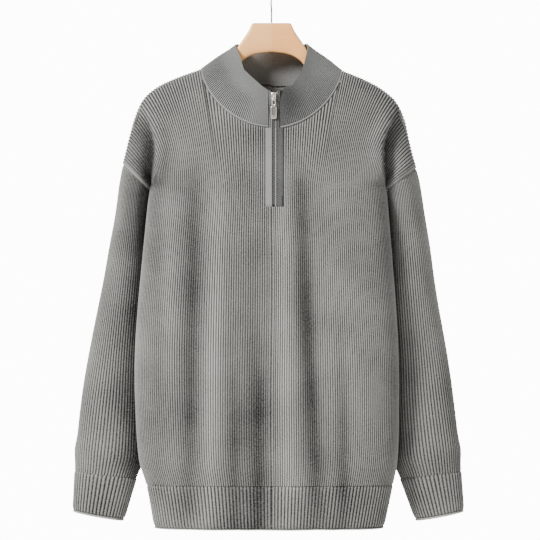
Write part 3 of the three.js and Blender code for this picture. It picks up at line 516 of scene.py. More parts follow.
    def neckline(self, turn: Array) -> Array:
        """The neckline by the angle round the neck: 0 at the front, a right angle at +X."""
        side = np.where(np.sin(turn) < 0, -1.0, 1.0)
        across = np.abs(np.sin(turn))
        front = self.neck(Face.FRONT, side, across)
        back = self.neck(Face.BACK, side, across)
        return np.where((np.cos(turn) >= 0)[..., None], front, back)

    @staticmethod
    def collar_top(turn: Array) -> Array:
        """The collar's top edge by the angle round the neck."""
        degrees = np.degrees(np.abs(np.arctan2(np.sin(turn), np.cos(turn))))
        side = np.where(np.sin(turn) < 0, -1.0, 1.0)
        across = np.where(side < 0, COLLAR_TOP.read("leftX", degrees), COLLAR_TOP.read("rightX", degrees))
        drop = np.where(side < 0, COLLAR_TOP.read("leftDrop", degrees), COLLAR_TOP.read("rightDrop", degrees))
        return np.stack([side * across, COLLAR_TOP.read("y", degrees), -drop], -1)

    def neck_outward(self, turn: Array) -> Array:
        """The way out of the collar: square to its own slope and to the neckline's edge."""
        step = 0.01
        edge = self.neckline(turn + step) - self.neckline(turn - step)
        return unit(np.cross(self.neckline(turn) - self.collar_top(turn), edge))

    def collar(self, turn: Array, down: Array) -> Array:
        """The collar's sheet, from 0 at its top edge to 1 at the neckline, bulging a little between."""
        place = lerp(self.collar_top(turn), self.neckline(turn), down[..., None])
        forward = np.maximum(np.cos(turn), 0) ** 1.5
        bulge = COLLAR_BULGE * np.sin(math.pi * np.clip(down, 0, 1)) * (0.1 + 0.9 * forward)
        return place + self.neck_outward(turn) * bulge[..., None]

    def collar_above(self, turn: Array, length: Array | float) -> Array:
        """The collar's share that lies a length above the neckline."""
        return 1 - length / np.linalg.norm(self.collar_top(turn) - self.neckline(turn), axis=-1)

    def front_y(self, drop: Array) -> Array:
        """The Y of the front's middle line at each level, from the collar's top to below the zip."""
        neck = -self.neckline(np.array(0.0))[2]
        top = self.collar_top(np.array(0.0))
        in_collar = lerp(top[1], NECK_POWERS[Face.FRONT][0], (drop + top[2]) / (neck + top[2]))
        upper = np.clip((drop - neck) / (UNDERARM_DROP - neck), 0, 1)
        lower = np.maximum(drop - UNDERARM_DROP, 0) / (HEM_TOP_DROP - UNDERARM_DROP)
        on_panel = self.panel(Face.FRONT, np.zeros(np.shape(drop)), upper + lower)[..., 1]
        return np.where(drop < neck, in_collar, on_panel)


FORM = SweaterForm()


@dataclass
class Mesh:
    """Points, faces and what is painted on them, gathered from parts and made into one Blender mesh."""

    name: str
    points: list[Array] = field(default_factory=list)
    quads: list[Array] = field(default_factory=list)
    triangles: list[Array] = field(default_factory=list)
    chart: list[Array] = field(default_factory=list)
    tones: list[Array] = field(default_factory=list)
    count: int = 0
    period: float = 0.0

    def add(self, points: Array, chart: Array | None = None, tone: Array | float = 1.0) -> Array:
        """Adds a block of points.

        Args:
            points: any shape that ends in 3, in millimetres.
            chart: the same shape ending in 2: ribs across and millimetres along, for the knit pattern.
            tone: how light each point is painted, 0 in a groove's painted shade and 1 on a crest's painted light.

        Returns:
            The points' numbers, in the block's own shape.
        """
        shape = points.shape[:-1]
        numbers = self.count + np.arange(int(np.prod(shape))).reshape(shape)
        self.points.append(points.reshape(-1, 3))
        self.chart.append(np.zeros((numbers.size, 2)) if chart is None else chart.reshape(-1, 2))
        self.tones.append(np.broadcast_to(tone, shape).reshape(-1))
        self.count += numbers.size
        return numbers

    def weave(self, numbers: Array, flip: bool = False, absent: Array | None = None) -> None:
        """Joins a grid of numbered points with four-sided faces that point out where rows run down.

        Args:
            numbers: rows by columns.
            flip: whether the faces point the other way.
            absent: rows less one by columns less one, true where a face is left out.
        """
        faces = np.stack([numbers[:-1, :-1], numbers[1:, :-1], numbers[1:, 1:], numbers[:-1, 1:]], -1)
        faces = faces[..., ::-1] if flip else faces
        self.quads.append(faces.reshape(-1, 4) if absent is None else faces[~absent])

    def rim(self, fine: Array, coarse: Array, flip: bool = False) -> None:
        """Closes a wall's edge between a fine line of points and a coarse one with a whole number of steps to each.

        Args:
            fine: the outer line's numbers.
            coarse: the inner line's numbers.
            flip: whether the faces point the other way.
        """
        steps = (len(fine) - 1) // (len(coarse) - 1)
        own = np.arange(len(fine) - 1) // steps
        fans = np.stack([fine[:-1], fine[1:], coarse[own]], -1)
        corners = np.stack([fine[steps::steps], coarse[1:], coarse[:-1]], -1)
        made = np.concatenate([fans, corners])
        self.triangles.append(made[:, ::-1] if flip else made)

    def fan(self, line: Array, hub: int, flip: bool = False) -> None:
        """Closes a loop of points with triangles to one hub."""
        made = np.stack([line, np.roll(line, -1), np.full(len(line), hub)], -1)
        self.triangles.append(made[:, ::-1] if flip else made)

    def corner_chart(self, quads: Array, triangles: Array) -> Array:
        """The chart at each face's corners, where a face that crosses a closed piece's seam counts on past it."""
        points = np.concatenate(self.chart)
        parts = []
        for faces in (quads, triangles):
            chart = points[faces]
            if self.period:
                across = chart[..., 0]
                behind = across.max(axis=1, keepdims=True) - across > self.period / 2
                chart[..., 0] = across + behind * self.period
            parts.append(chart.reshape(-1, 2))
        return np.concatenate(parts)

    def build(self, body: str, nodes: Sequence[str], slot: str, material: bpy.types.Material,
              sharp_degrees: float = 80.0) -> bpy.types.Object:
        """Makes the object, puts it on its body and hides the CAD nodes that it stands for.

        Args:
            body: the CAD body that it moves with.
            nodes: the CAD nodes that it replaces.
            slot: the record's material slot; not used.
            material: its finish.
            sharp_degrees: edges that bend more than this stay sharp.

        Returns:
            The linked object.
        """
        points = np.concatenate(self.points) * MM
        quads = np.concatenate(self.quads) if self.quads else np.zeros((0, 4), int)
        triangles = np.concatenate(self.triangles) if self.triangles else np.zeros((0, 3), int)
        corners = np.concatenate([quads.ravel(), triangles.ravel()]).astype(np.int32)
        starts = np.concatenate([np.arange(len(quads)) * 4, len(quads) * 4 + np.arange(len(triangles)) * 3])
        mesh = bpy.data.meshes.new(self.name)
        mesh.vertices.add(len(points))
        mesh.vertices.foreach_set("co", points.astype(np.float32).ravel())
        mesh.loops.add(len(corners))
        mesh.loops.foreach_set("vertex_index", corners)
        mesh.polygons.add(len(starts))
        mesh.polygons.foreach_set("loop_start", starts.astype(np.int32))
        mesh.update(calc_edges=True)
        chart = mesh.uv_layers.new(name="knit")
        chart.data.foreach_set("uv", self.corner_chart(quads, triangles).astype(np.float32).ravel())
        tone = mesh.attributes.new("tone", "FLOAT", "POINT")
        tone.data.foreach_set("value", np.concatenate(self.tones).astype(np.float32))
        mesh.shade_smooth()
        mesh.set_sharp_from_angle(angle=math.radians(sharp_degrees))
        mesh.materials.append(material)
        piece = bpy.data.objects.new(self.name, mesh)
        bpy.context.scene.collection.objects.link(piece)
        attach(piece, body)
        if nodes:
            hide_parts(*nodes)
        LOG.info("%s: %d faces", self.name, len(starts))
        return piece


def linear(code: str, alpha: float = 1.0) -> tuple[float, float, float, float]:
    """Turns an sRGB hex code to linear light: the usual curve with a straight foot."""
    shares = np.array([int(code[place:place + 2], 16) / 255 for place in (1, 3, 5)])
    light = np.where(shares <= 0.04045, shares / 12.92, ((shares + 0.055) / 1.055) ** 2.4)
    return (*(float(share) for share in light), alpha)


def add_node(tree: bpy.types.NodeTree, kind: str, settings: dict | None = None,
             inputs: dict | None = None) -> bpy.types.Node:
    """Adds a shader node with its settings, and each input's value or link."""
    made = tree.nodes.new(kind)
    for name, value in (settings or {}).items():
        setattr(made, name, value)
    for socket, value in (inputs or {}).items():
        if isinstance(value, bpy.types.NodeSocket):
            tree.links.new(value, made.inputs[socket])
        else:
            made.inputs[socket].default_value = value
    return made


def new_material(name: str) -> tuple[bpy.types.Material, bpy.types.NodeTree]:
    """An empty material with nodes."""
    material = bpy.data.materials.new(name)
    material.use_nodes = True
    material.node_tree.nodes.clear()
    return material, material.node_tree


def close_material(tree: bpy.types.NodeTree, inputs: dict) -> None:
    """Ends a material with its surface shader and output."""
    shader = add_node(tree, "ShaderNodeBsdfPrincipled", None, inputs)
    add_node(tree, "ShaderNodeOutputMaterial", None, {"Surface": shader.outputs["BSDF"]})


@dataclass(frozen=True)
class KnitFinish:
    """Cotton yarn knitted in ribs: matte and a little hairy, with painted light on its crests and painted shade in the
    grooves.

    The stitches are V shapes 2.4 mm high, slanting to each side of a rib's middle. The melange of the yarn is a noise
    about 1 mm across.
    """

    name: str
    crest: str
    groove: str
    stitch_mm: float = 2.4
    bead_mm: float = 3.2
    speckle: float = 0.55
    relief_mm: float = 0.35
    sheen: float = 0.25

    def material(self) -> bpy.types.Material:
        """The finish as a material that reads the piece's own rib chart and tone."""
        material, tree = new_material(self.name)
        chart = add_node(tree, "ShaderNodeUVMap", {"uv_map": "knit"})
        parts = add_node(tree, "ShaderNodeSeparateXYZ", None, {"Vector": chart.outputs["UV"]})
        from_groove = add_node(tree, "ShaderNodeMath", {"operation": "PINGPONG"}, {0: parts.outputs["X"], 1: 0.5})
        rows = add_node(tree, "ShaderNodeMath", {"operation": "DIVIDE"}, {0: parts.outputs["Y"], 1: self.stitch_mm})
        slant = add_node(tree, "ShaderNodeMath", {"operation": "MULTIPLY_ADD"},
                         {0: from_groove.outputs[0], 1: 1.1, 2: rows.outputs[0]})
        turn = add_node(tree, "ShaderNodeMath", {"operation": "MULTIPLY"}, {0: slant.outputs[0], 1: 2 * math.pi})
        wave = add_node(tree, "ShaderNodeMath", {"operation": "SINE"}, {0: turn.outputs[0]})
        place = add_node(tree, "ShaderNodeTexCoord")
        beads = add_node(tree, "ShaderNodeMath", {"operation": "DIVIDE"}, {0: parts.outputs["Y"], 1: self.bead_mm})
        along_rib = add_node(tree, "ShaderNodeCombineXYZ", None, {"X": parts.outputs["X"], "Y": beads.outputs[0]})
        yarn = add_node(tree, "ShaderNodeTexNoise", None,
                        {"Vector": along_rib.outputs[0], "Scale": 1.3, "Detail": 3.0, "Roughness": 0.65})
        cloud = add_node(tree, "ShaderNodeTexNoise", None,
                         {"Vector": place.outputs["Object"], "Scale": 14.0, "Detail": 2.0, "Roughness": 0.5})
        height = add_node(tree, "ShaderNodeMath", {"operation": "MULTIPLY_ADD"},
                          {0: wave.outputs[0], 1: 0.3, 2: yarn.outputs["Fac"]})
        bump = add_node(tree, "ShaderNodeBump", None,
                        {"Strength": 0.6, "Distance": self.relief_mm * MM, "Height": height.outputs[0]})
        # The tone attribute is painted light and shade: it mixes the groove colour, painted shade, into the crest
        # colour, painted light.
        tone = add_node(tree, "ShaderNodeAttribute", {"attribute_name": "tone"})
        level = add_node(tree, "ShaderNodeMath", {"operation": "MULTIPLY"}, {0: tone.outputs["Fac"], 1: 0.75})
        speckle = add_node(tree, "ShaderNodeMath", {"operation": "MULTIPLY_ADD"},
                           {0: yarn.outputs["Fac"], 1: self.speckle, 2: level.outputs[0]})
        uneven = add_node(tree, "ShaderNodeMath", {"operation": "MULTIPLY_ADD"},
                          {0: cloud.outputs["Fac"], 1: 0.3, 2: speckle.outputs[0]})
        share = add_node(tree, "ShaderNodeMath", {"operation": "SUBTRACT", "use_clamp": True},
                         {0: uneven.outputs[0], 1: 0.12 + self.speckle / 2})
        colour = add_node(tree, "ShaderNodeMix", {"data_type": "RGBA"},
                          {0: share.outputs[0], 6: linear(self.groove), 7: linear(self.crest)})
        close_material(tree, {
            "Base Color": colour.outputs[2],
            "Roughness": 0.95,
            "IOR": 1.46,
            "Specular IOR Level": 0.2,
            "Sheen Weight": self.sheen,
            "Sheen Roughness": 0.5,
            "Normal": bump.outputs["Normal"],
        })
        return material


@dataclass(frozen=True)
class MetalFinish:
    """Plated or drawn metal: a coloured mirror, blurred by fine polishing marks."""

    name: str
    colour: str
    roughness: float

    def material(self) -> bpy.types.Material:
        """The finish as a material."""
        material, tree = new_material(self.name)
        place = add_node(tree, "ShaderNodeTexCoord")
        marks = add_node(tree, "ShaderNodeTexNoise", None,
                         {"Vector": place.outputs["Object"], "Scale": 2500.0, "Detail": 2.0})
        bump = add_node(tree, "ShaderNodeBump", None,
                        {"Strength": 0.1, "Distance": 0.05 * MM, "Height": marks.outputs["Fac"]})
        close_material(tree, {
            "Base Color": linear(self.colour),
            "Metallic": 1.0,
            "Roughness": self.roughness,
            "Normal": bump.outputs["Normal"],
        })
        return material


@dataclass(frozen=True)
class PlainFinish:
    """Moulded plastic or woven tape: one colour with a fine even grain."""

    name: str
    colour: str
    roughness: float
    grain_mm: float

    def material(self) -> bpy.types.Material:
        """The finish as a material."""
        material, tree = new_material(self.name)
        place = add_node(tree, "ShaderNodeTexCoord")
        grain = add_node(tree, "ShaderNodeTexNoise", None,
                         {"Vector": place.outputs["Object"], "Scale": 1 / (self.grain_mm * MM), "Detail": 2.0})
        bump = add_node(tree, "ShaderNodeBump", None,
                        {"Strength": 0.4, "Distance": 0.1 * MM, "Height": grain.outputs["Fac"]})
        close_material(tree, {
            "Base Color": linear(self.colour),
            "Roughness": self.roughness,
            "Normal": bump.outputs["Normal"],
        })
        return material


@dataclass(frozen=True)
class WoodFinish:
    """Lacquered beech: pale, with close grain lines along the arms and short darker flecks."""

    name: str
    light: str
    dark: str

    def material(self) -> bpy.types.Material:
        """The finish as a material. The grain is drawn out along X, 3 mm apart, and the halves meet at X = 0."""
        material, tree = new_material(self.name)
        place = add_node(tree, "ShaderNodeTexCoord")
        drawn = add_node(tree, "ShaderNodeMapping", None,
                         {"Vector": place.outputs["Object"], "Scale": (0.08, 1.0, 1.0)})
        grain = add_node(tree, "ShaderNodeTexNoise", None,
                         {"Vector": drawn.outputs["Vector"], "Scale": 340.0, "Detail": 4.0, "Distortion": 0.4})
        ramp = add_node(tree, "ShaderNodeValToRGB", None, {"Fac": grain.outputs["Fac"]})
        ramp.color_ramp.elements[0].position = 0.3
        ramp.color_ramp.elements[0].color = linear(self.dark)
        ramp.color_ramp.elements[1].position = 0.65
        ramp.color_ramp.elements[1].color = linear(self.light)
        parts = add_node(tree, "ShaderNodeSeparateXYZ", None, {"Vector": place.outputs["Object"]})
        right_half = add_node(tree, "ShaderNodeMath", {"operation": "GREATER_THAN"}, {0: parts.outputs["X"], 1: 0.0})
        half_share = add_node(tree, "ShaderNodeMath", {"operation": "MULTIPLY"}, {0: right_half.outputs[0], 1: 0.35})
        colour = add_node(tree, "ShaderNodeMix", {"data_type": "RGBA"},
                          {0: half_share.outputs[0], 6: ramp.outputs["Color"], 7: linear("#f29a4c")})
        bump = add_node(tree, "ShaderNodeBump", None,
                        {"Strength": 0.15, "Distance": 0.15 * MM, "Height": grain.outputs["Fac"]})
        close_material(tree, {
            "Base Color": colour.outputs[2],
            "Roughness": 0.42,
            "Coat Weight": 0.25,
            "Coat Roughness": 0.3,
            "Normal": bump.outputs["Normal"],
        })
        return material


@dataclass
class Finishes:
    """Every finish of the garment and its hanger, made once."""

    def __post_init__(self) -> None:
        """Makes the materials."""
        # Each knit finish mixes its groove colour, near black and painted shade, with its crest colour, painted light,
        # by the tone.
        self.body = KnitFinish("cotton_rib_knit", "#bdbcb6", "#141413").material()
        self.band = KnitFinish("cotton_rib_band", "#bdbcb6", "#141413").material()
        self.collar = KnitFinish("cotton_fine_rib", "#a0a09c", "#161616", relief_mm=0.25, speckle=0.35).material()
        self.seam = KnitFinish("linked_seam_knit", "#92918d", "#111111", speckle=0.4).material()
        self.facing = KnitFinish("plain_knit_facing", "#91918e", "#1d1d1c", relief_mm=0.25, speckle=0.6).material()
        self.tape = PlainFinish("woven_polyester_tape", "#1d1e1d", 0.85, 0.7).material()
        self.teeth = PlainFinish("moulded_acetal_teeth", "#7c7b77", 0.4, 0.5).material()
        self.thread = PlainFinish("sewing_thread", "#3e403e", 0.8, 0.3).material()
        self.nickel = MetalFinish("satin_nickel_plate", "#efe9e0", 0.28).material()
        self.dark_nickel = MetalFinish("shaded_nickel_inset", "#8a8683", 0.5).material()
        self.wire = MetalFinish("bright_steel_wire", "#7e7e80", 0.3).material()
        self.beech = WoodFinish("lacquered_beech", "#ffc27c", "#ffb66c").material()


def rib_profile(ribs: Array) -> Array:
    """A rib's height from 0 in its grooves to 1 on its crest: the sine of half a turn across it."""
    return np.abs(np.sin(math.pi * ribs))


@dataclass
class ClothWall:
    """A knitted wall: ribs on its outer face, a plain inner face with a third as many points each way."""

    name: str
    base: Array
    ribs: Array
    lengths: Array
    rib_height: Array | float
    wall: float = CLOTH
    coarse: int = 3
    closed: bool = False
    tone: Array | float = 1.0
    power: Array | float = TONE_POWER
    absent: Array | None = None
    outward: Array | None = None

    def mesh(self) -> Mesh:
        """Raises the ribs, sinks the inner face by the wall's thickness, and closes the edges.

        Returns:
            The gathered mesh, not yet an object.
        """
        out = normals(self.base) if self.outward is None else self.outward
        profile = rib_profile(self.ribs)
        raised = self.base + out * (profile * self.rib_height)[..., None]
        chart = np.stack(np.broadcast_arrays(self.ribs, self.lengths), -1)
        ribbed = np.ndim(self.rib_height) > 0 or self.rib_height > 0
        # Painted light and shade: dark in the grooves and light on the crests, times the given tone of painted light
        # and shade.
        tone = np.clip(CREST_TONE * profile ** self.power * self.tone, 0, 1) if ribbed else self.tone
        mesh = Mesh(self.name, period=float(self.ribs.max()) if self.closed else 0.0)
        step = self.coarse
        inner_points = (self.base - out * self.wall)[::step, ::step]
        inner_chart = chart[::step, ::step]
        # The inner face is painted dim, as shade, a little lighter behind the crests.
        inside = np.broadcast_to(INSIDE_SHADE_TONE + 0.3 * profile, self.base.shape[:-1])[::step, ::step]
        if self.closed:
            tone = np.broadcast_to(tone, self.base.shape[:-1])[:, :-1]
            outer = wrap(mesh.add(raised[:, :-1], chart[:, :-1], tone))
            inner = wrap(mesh.add(inner_points[:, :-1], inner_chart[:, :-1], inside[:, :-1]))
        else:
            outer = mesh.add(raised, chart, tone)
            inner = mesh.add(inner_points, inner_chart, inside)
        mesh.weave(outer, absent=self.absent)
        coarse_absent = None if self.absent is None else self.absent[::step, ::step]
        mesh.weave(inner, flip=True, absent=coarse_absent)
        if self.absent is None:
            mesh.rim(outer[0], inner[0])
        else:
            self.slit_rims(mesh, outer, inner)
        mesh.rim(outer[-1], inner[-1], flip=True)
        if not self.closed:
            mesh.rim(outer[:, 0], inner[:, 0], flip=True)
            mesh.rim(outer[:, -1], inner[:, -1])
        return mesh

    def slit_rims(self, mesh: Mesh, outer: Array, inner: Array) -> None:
        """Closes the top edge on both sides of a slit, and the slit's own three edges."""
        rows = int(np.sum(np.any(self.absent, axis=1)))
        gone = np.flatnonzero(self.absent[0])
        left, right = gone[0], gone[-1] + 1
        step = self.coarse
        low, from_left, from_right = rows // step, left // step, right // step
        mesh.rim(outer[0, :left + 1], inner[0, :from_left + 1])
        mesh.rim(outer[0, right:], inner[0, from_right:])
        mesh.rim(outer[:rows + 1, left], inner[:low + 1, from_left])
        mesh.rim(outer[:rows + 1, right], inner[:low + 1, from_right], flip=True)
        mesh.rim(outer[rows, left:right + 1], inner[low, from_left:from_right + 1])


def wrap(grid: Array) -> Array:
    """Repeats a closed grid's first column at its end."""
    return np.concatenate([grid, grid[:, :1]], axis=1)


@dataclass
class Panels:
    """The front and back of the body, ribbed from the shoulders to the hem band, the front with a slit for the zip."""

    finishes: Finishes
    ribs_per_side: int = 67
    points_per_rib: int = 6
    upper_rows: int = 36
    slit_rows: int = 3
    lower_rows: int = 45
    rib_height: float = 1.5

    def rows(self) -> Array:
        """Shares down the panel, with a row at the slit's end."""
        slit = 1 + (SLIT_BOTTOM_DROP - UNDERARM_DROP) / (HEM_TOP_DROP - UNDERARM_DROP)
        upper = np.linspace(0, 1, self.upper_rows + 1) ** 1.15
        middle = np.linspace(1, slit, self.slit_rows + 1)[1:]
        return np.concatenate([upper, middle, np.linspace(slit, 2, self.lower_rows + 1)[1:]])

    def slit(self, across: Array, rows: int) -> Array:
        """The faces that the zip's slit leaves out, with edges on every third column."""
        small = 0.05
        share = FORM.panel_share(Face.FRONT, np.array(small))
        width = abs(float(FORM.body(np.array(1.0), share, np.array(UNDERARM_DROP))[0]))
        left, right = (3 * int(round(np.searchsorted(across, small * x / width) / 3)) for x in SLIT_X)
        absent = np.zeros((rows - 1, len(across) - 1), bool)
        absent[:self.upper_rows + self.slit_rows, left:right] = True
        return absent

    def build(self, face: Face) -> bpy.types.Object:
        """Builds one panel.

        Args:
            face: front or back.

        Returns:
            The panel.
        """
        columns = 2 * self.ribs_per_side * self.points_per_rib
        across = np.linspace(face.value, -face.value, columns + 1, dtype=float)
        down = self.rows()[:, None]
        base = FORM.panel(face, across[None, :], down)
        seam = np.abs(across) == 1
        base[:, seam, 1] += face.value * SEAM_GAP / 2
        ribs = np.broadcast_to((across * self.ribs_per_side)[None, :], base.shape[:-1])
        steps = np.linalg.norm(np.diff(base, axis=0), axis=-1)
        lengths = np.concatenate([np.zeros((1, columns + 1)), np.cumsum(steps, axis=0)])
        at_neck = np.abs(across)[None, :] <= NECK_SHARE
        height = self.rib_height * np.where(at_neck, smooth(lengths, 0.5, 5.0), 1.0)
        node = f"{face.name.lower()}_panel"
        # Painted light and shade: the crease's painted shade, the folds' painted light and shade, extra painted light
        # and deeper painted groove shade at the yoke, and shallower painted groove shade low on the body.
        yoke = 1 - smooth(-base[..., 2], 180, 330)
        low = smooth(-base[..., 2], 400, 600)
        light = FORM.crease_shade(base) * FORM.fold_light(face, base) * (1 + YOKE_LIGHT_GAIN * yoke)
        wall = ClothWall(
            f"knit_{node}", base, ribs, lengths, height, tone=light, power=TONE_POWER + 3 * yoke - 0.6 * low,
            absent=self.slit(across, len(down)) if face is Face.FRONT else None,
        )
        piece = wall.mesh().build(SWEATER, [node], "rib_knit", self.finishes.body)
        return piece


@dataclass
class Sleeves:
    """The dropped sleeves with their raised armhole seams and ribbed cuffs."""

    finishes: Finishes
    ribs: int = 64
    points_per_rib: int = 6
    rows: int = 84
    cuff_ribs: int = 46
    cuff_points: int = 9
    cuff_rows: int = 12
    rib_height: float = 1.5
    band_rib_height: float = 1.6

    def seam(self, side: Side, length: float) -> Ring:
        """The armhole's oval moved clear of the panels and a length along the sleeve."""
        outer = FORM.shoulder(np.array(float(side.value)), np.array(1.0)) + np.array([0, 0, -SEAM_GAP])
        inner = FORM.body(np.array(float(side.value)), np.array(FRONT_SHARE), np.array(UNDERARM_DROP))
        inner = inner + np.array([side.value * UNDERARM_CLEARANCE, 0, -SEAM_GAP])
        ring = Ring.between(outer, inner, np.array(ARMHOLE_DEPTH), ARMHOLE_FRONT)
        next_ring = self.table_ring(side, 0)
        axis = unit(next_ring.middle - ring.middle)
        ring.middle = ring.middle + axis * length
        return ring

    @staticmethod
    def table_ring(side: Side, row: int) -> Ring:
        """The oval of one row of the sleeve's table."""
        sizes = dict(zip(SLEEVE.names.split(), SLEEVE.rows[row]))
        outer = np.array([side.value * sizes[f"{side.key}Out"], sizes["y"], -sizes["drop"]])
        inner = np.array([side.value * sizes[f"{side.key}In"], sizes["y"], -sizes["drop"] - sizes["tilt"]])
        return Ring.between(outer, inner, np.array(sizes["depth"]), sizes["front"])

    @staticmethod
    def shade(side: Side, points: Array) -> Array:
        """How much light reaches the yarn: less in the narrow space beside the body, widest on the left."""
        drop = -points[..., 2]
        gap = np.maximum(np.abs(points[..., 0]) - BODY.read(side.key, drop), 0)
        gain, depth, width = (0.0, 0.8, 27.0) if side is Side.LEFT else (0.25, 0.78, 9.0)
        lit = 1 + gain * (1 - smooth(drop, 480, 640))
        return lit * (1 - depth * bell(gap, 0.0, width))

    @staticmethod
    def turns(side: Side, columns: int) -> Array:
        """Angles round the sleeve, anticlockwise seen from above, closed."""
        return -side.value * np.linspace(0, 2 * math.pi, columns + 1)

    def tube(self, side: Side, rings: Sequence[Ring], shares: Array, turns: Array) -> Array:
        """A smooth tube through ovals: each of their sizes is read on a curve along the tube.

        Args:
            side: left or right.
            rings: the ovals from the top down.
            shares: places along the tube, 0 to 1.
            turns: angles round it.

        Returns:
            Rows by columns of points.
        """
        middles = np.stack([ring.middle for ring in rings])
        steps = np.concatenate([[0.0], np.cumsum(np.linalg.norm(np.diff(middles, axis=0), axis=1))])
        rows = tuple(
            (float(step), *ring.middle.tolist(), *ring.reach.tolist(), float(ring.depth[0]), ring.front)
            for step, ring in zip(steps, rings)
        )
        table = Table("place mx my mz rx ry rz depth front", rows)
        place = shares * steps[-1]
        middle = np.stack([table.read(name, place) for name in ("mx", "my", "mz")], -1)[:, None, :]
        reach = np.stack([table.read(name, place) for name in ("rx", "ry", "rz")], -1)[:, None, :]
        depth = table.read("depth", place)[:, None]
        flat = np.where(np.sin(turns)[None, :] > 0, table.read("front", place)[:, None], 1.0)
        points = middle + reach * np.cos(turns)[None, :, None]
        points[..., 1] -= depth * flat * np.sin(turns)[None, :]
        return points

    def build_sleeve(self, side: Side) -> bpy.types.Object:
        """Builds the tube from the armhole seam to the cuff, with soft puffs above the cuff.

        Args:
            side: left or right.

        Returns:
            The sleeve.
        """
        rings = [self.seam(side, WELT_LENGTH + SEAM_GAP)]
        rings.extend(self.table_ring(side, row) for row in range(CUFF_ROW + 1))
        columns = self.ribs * self.points_per_rib
        turns = self.turns(side, columns)
        shares = np.linspace(0, 1, self.rows + 1)
        base = self.tube(side, rings, shares, turns)
        out = wrap(normals(base[:, :-1], closed=True))
        span = shares[:, None]
        turn = turns[None, :]
        puff = 2.6 * bell(span, 0.93, 0.035) * (0.6 + 0.4 * np.cos(3 * turn + 0.7))
        slack = 1.8 * np.sin(9 * span + 2 * np.cos(turn + 0.4)) * smooth(span, 0.1, 0.4) * smooth(1 - span, 0, 0.1)
        base = base + out * (puff + slack - 0.6)[..., None]
        ribs = np.broadcast_to(np.linspace(0, self.ribs, columns + 1)[None, :], base.shape[:-1])
        lengths = np.broadcast_to(span * 470, base.shape[:-1])
        height = self.rib_height * smooth(lengths, 0.5, 5.0)
        node = f"sleeve_{side.key}"
        wall = ClothWall(f"knit_{node}", base, ribs, lengths, height, closed=True, outward=out,
                         tone=self.shade(side, base))
        piece = wall.mesh().build(SWEATER, [node], "rib_knit", self.finishes.body)
        return piece

    def build_welt(self, side: Side) -> bpy.types.Object:
        """Builds the smooth raised seam round the armhole, half round in section and flatter at the underarm."""
        columns = 240
        rows = 12
        turns = self.turns(side, columns)
        share = np.linspace(0, 1, rows + 1)
        reach = WELT_LENGTH + 2.2
        lines = [self.seam(side, reach * step - 1.1).point(turns) for step in share]
        base = np.stack(lines)
        out = wrap(normals(base[:, :-1], closed=True))
        proud = (WELT_PROUD + 0.5) * np.sin(math.pi * share)[:, None] ** 0.6
        proud = proud * np.sqrt((1.15 + np.cos(turns)) / 2.15)[None, :]
        base = base + out * proud[..., None]
        lengths = np.broadcast_to((share * WELT_LENGTH)[:, None], base.shape[:-1])
        ribs = np.broadcast_to(np.linspace(0, 320, columns + 1)[None, :], base.shape[:-1])
        node = f"armhole_welt_{side.key}"
        # Painted shade: the welt's tone falls towards both its edges, where it meets the panel and the sleeve.
        tone = 0.3 + 0.7 * np.sin(math.pi * share)[:, None] ** 0.5
        wall = ClothWall(f"knit_{node}", base, ribs, lengths, 0.0, coarse=3, closed=True, outward=out,
                         tone=np.broadcast_to(tone, base.shape[:-1]))
        return wall.mesh().build(SWEATER, [node], "seam_knit", self.finishes.seam)

    def build_cuff(self, side: Side) -> bpy.types.Object:
        """Builds the coarser rib band at the sleeve's end."""
        rings = [self.table_ring(side, CUFF_ROW), self.table_ring(side, CUFF_ROW + 1)]
        axis = unit(rings[1].middle - rings[0].middle)
        rings[0].middle = rings[0].middle + axis * SEAM_GAP
        columns = self.cuff_ribs * self.cuff_points
        turns = self.turns(side, columns)
        shares = np.linspace(0, 1, self.cuff_rows + 1) ** 0.9
        base = self.tube(side, rings, shares, turns)
        length = float(np.linalg.norm(rings[1].middle - rings[0].middle))
        node = f"cuff_{side.key}"
        piece = build_band(f"knit_{node}", base, length, shares, self.cuff_ribs, self.band_rib_height, True, [node],
                           self.finishes)
        return piece


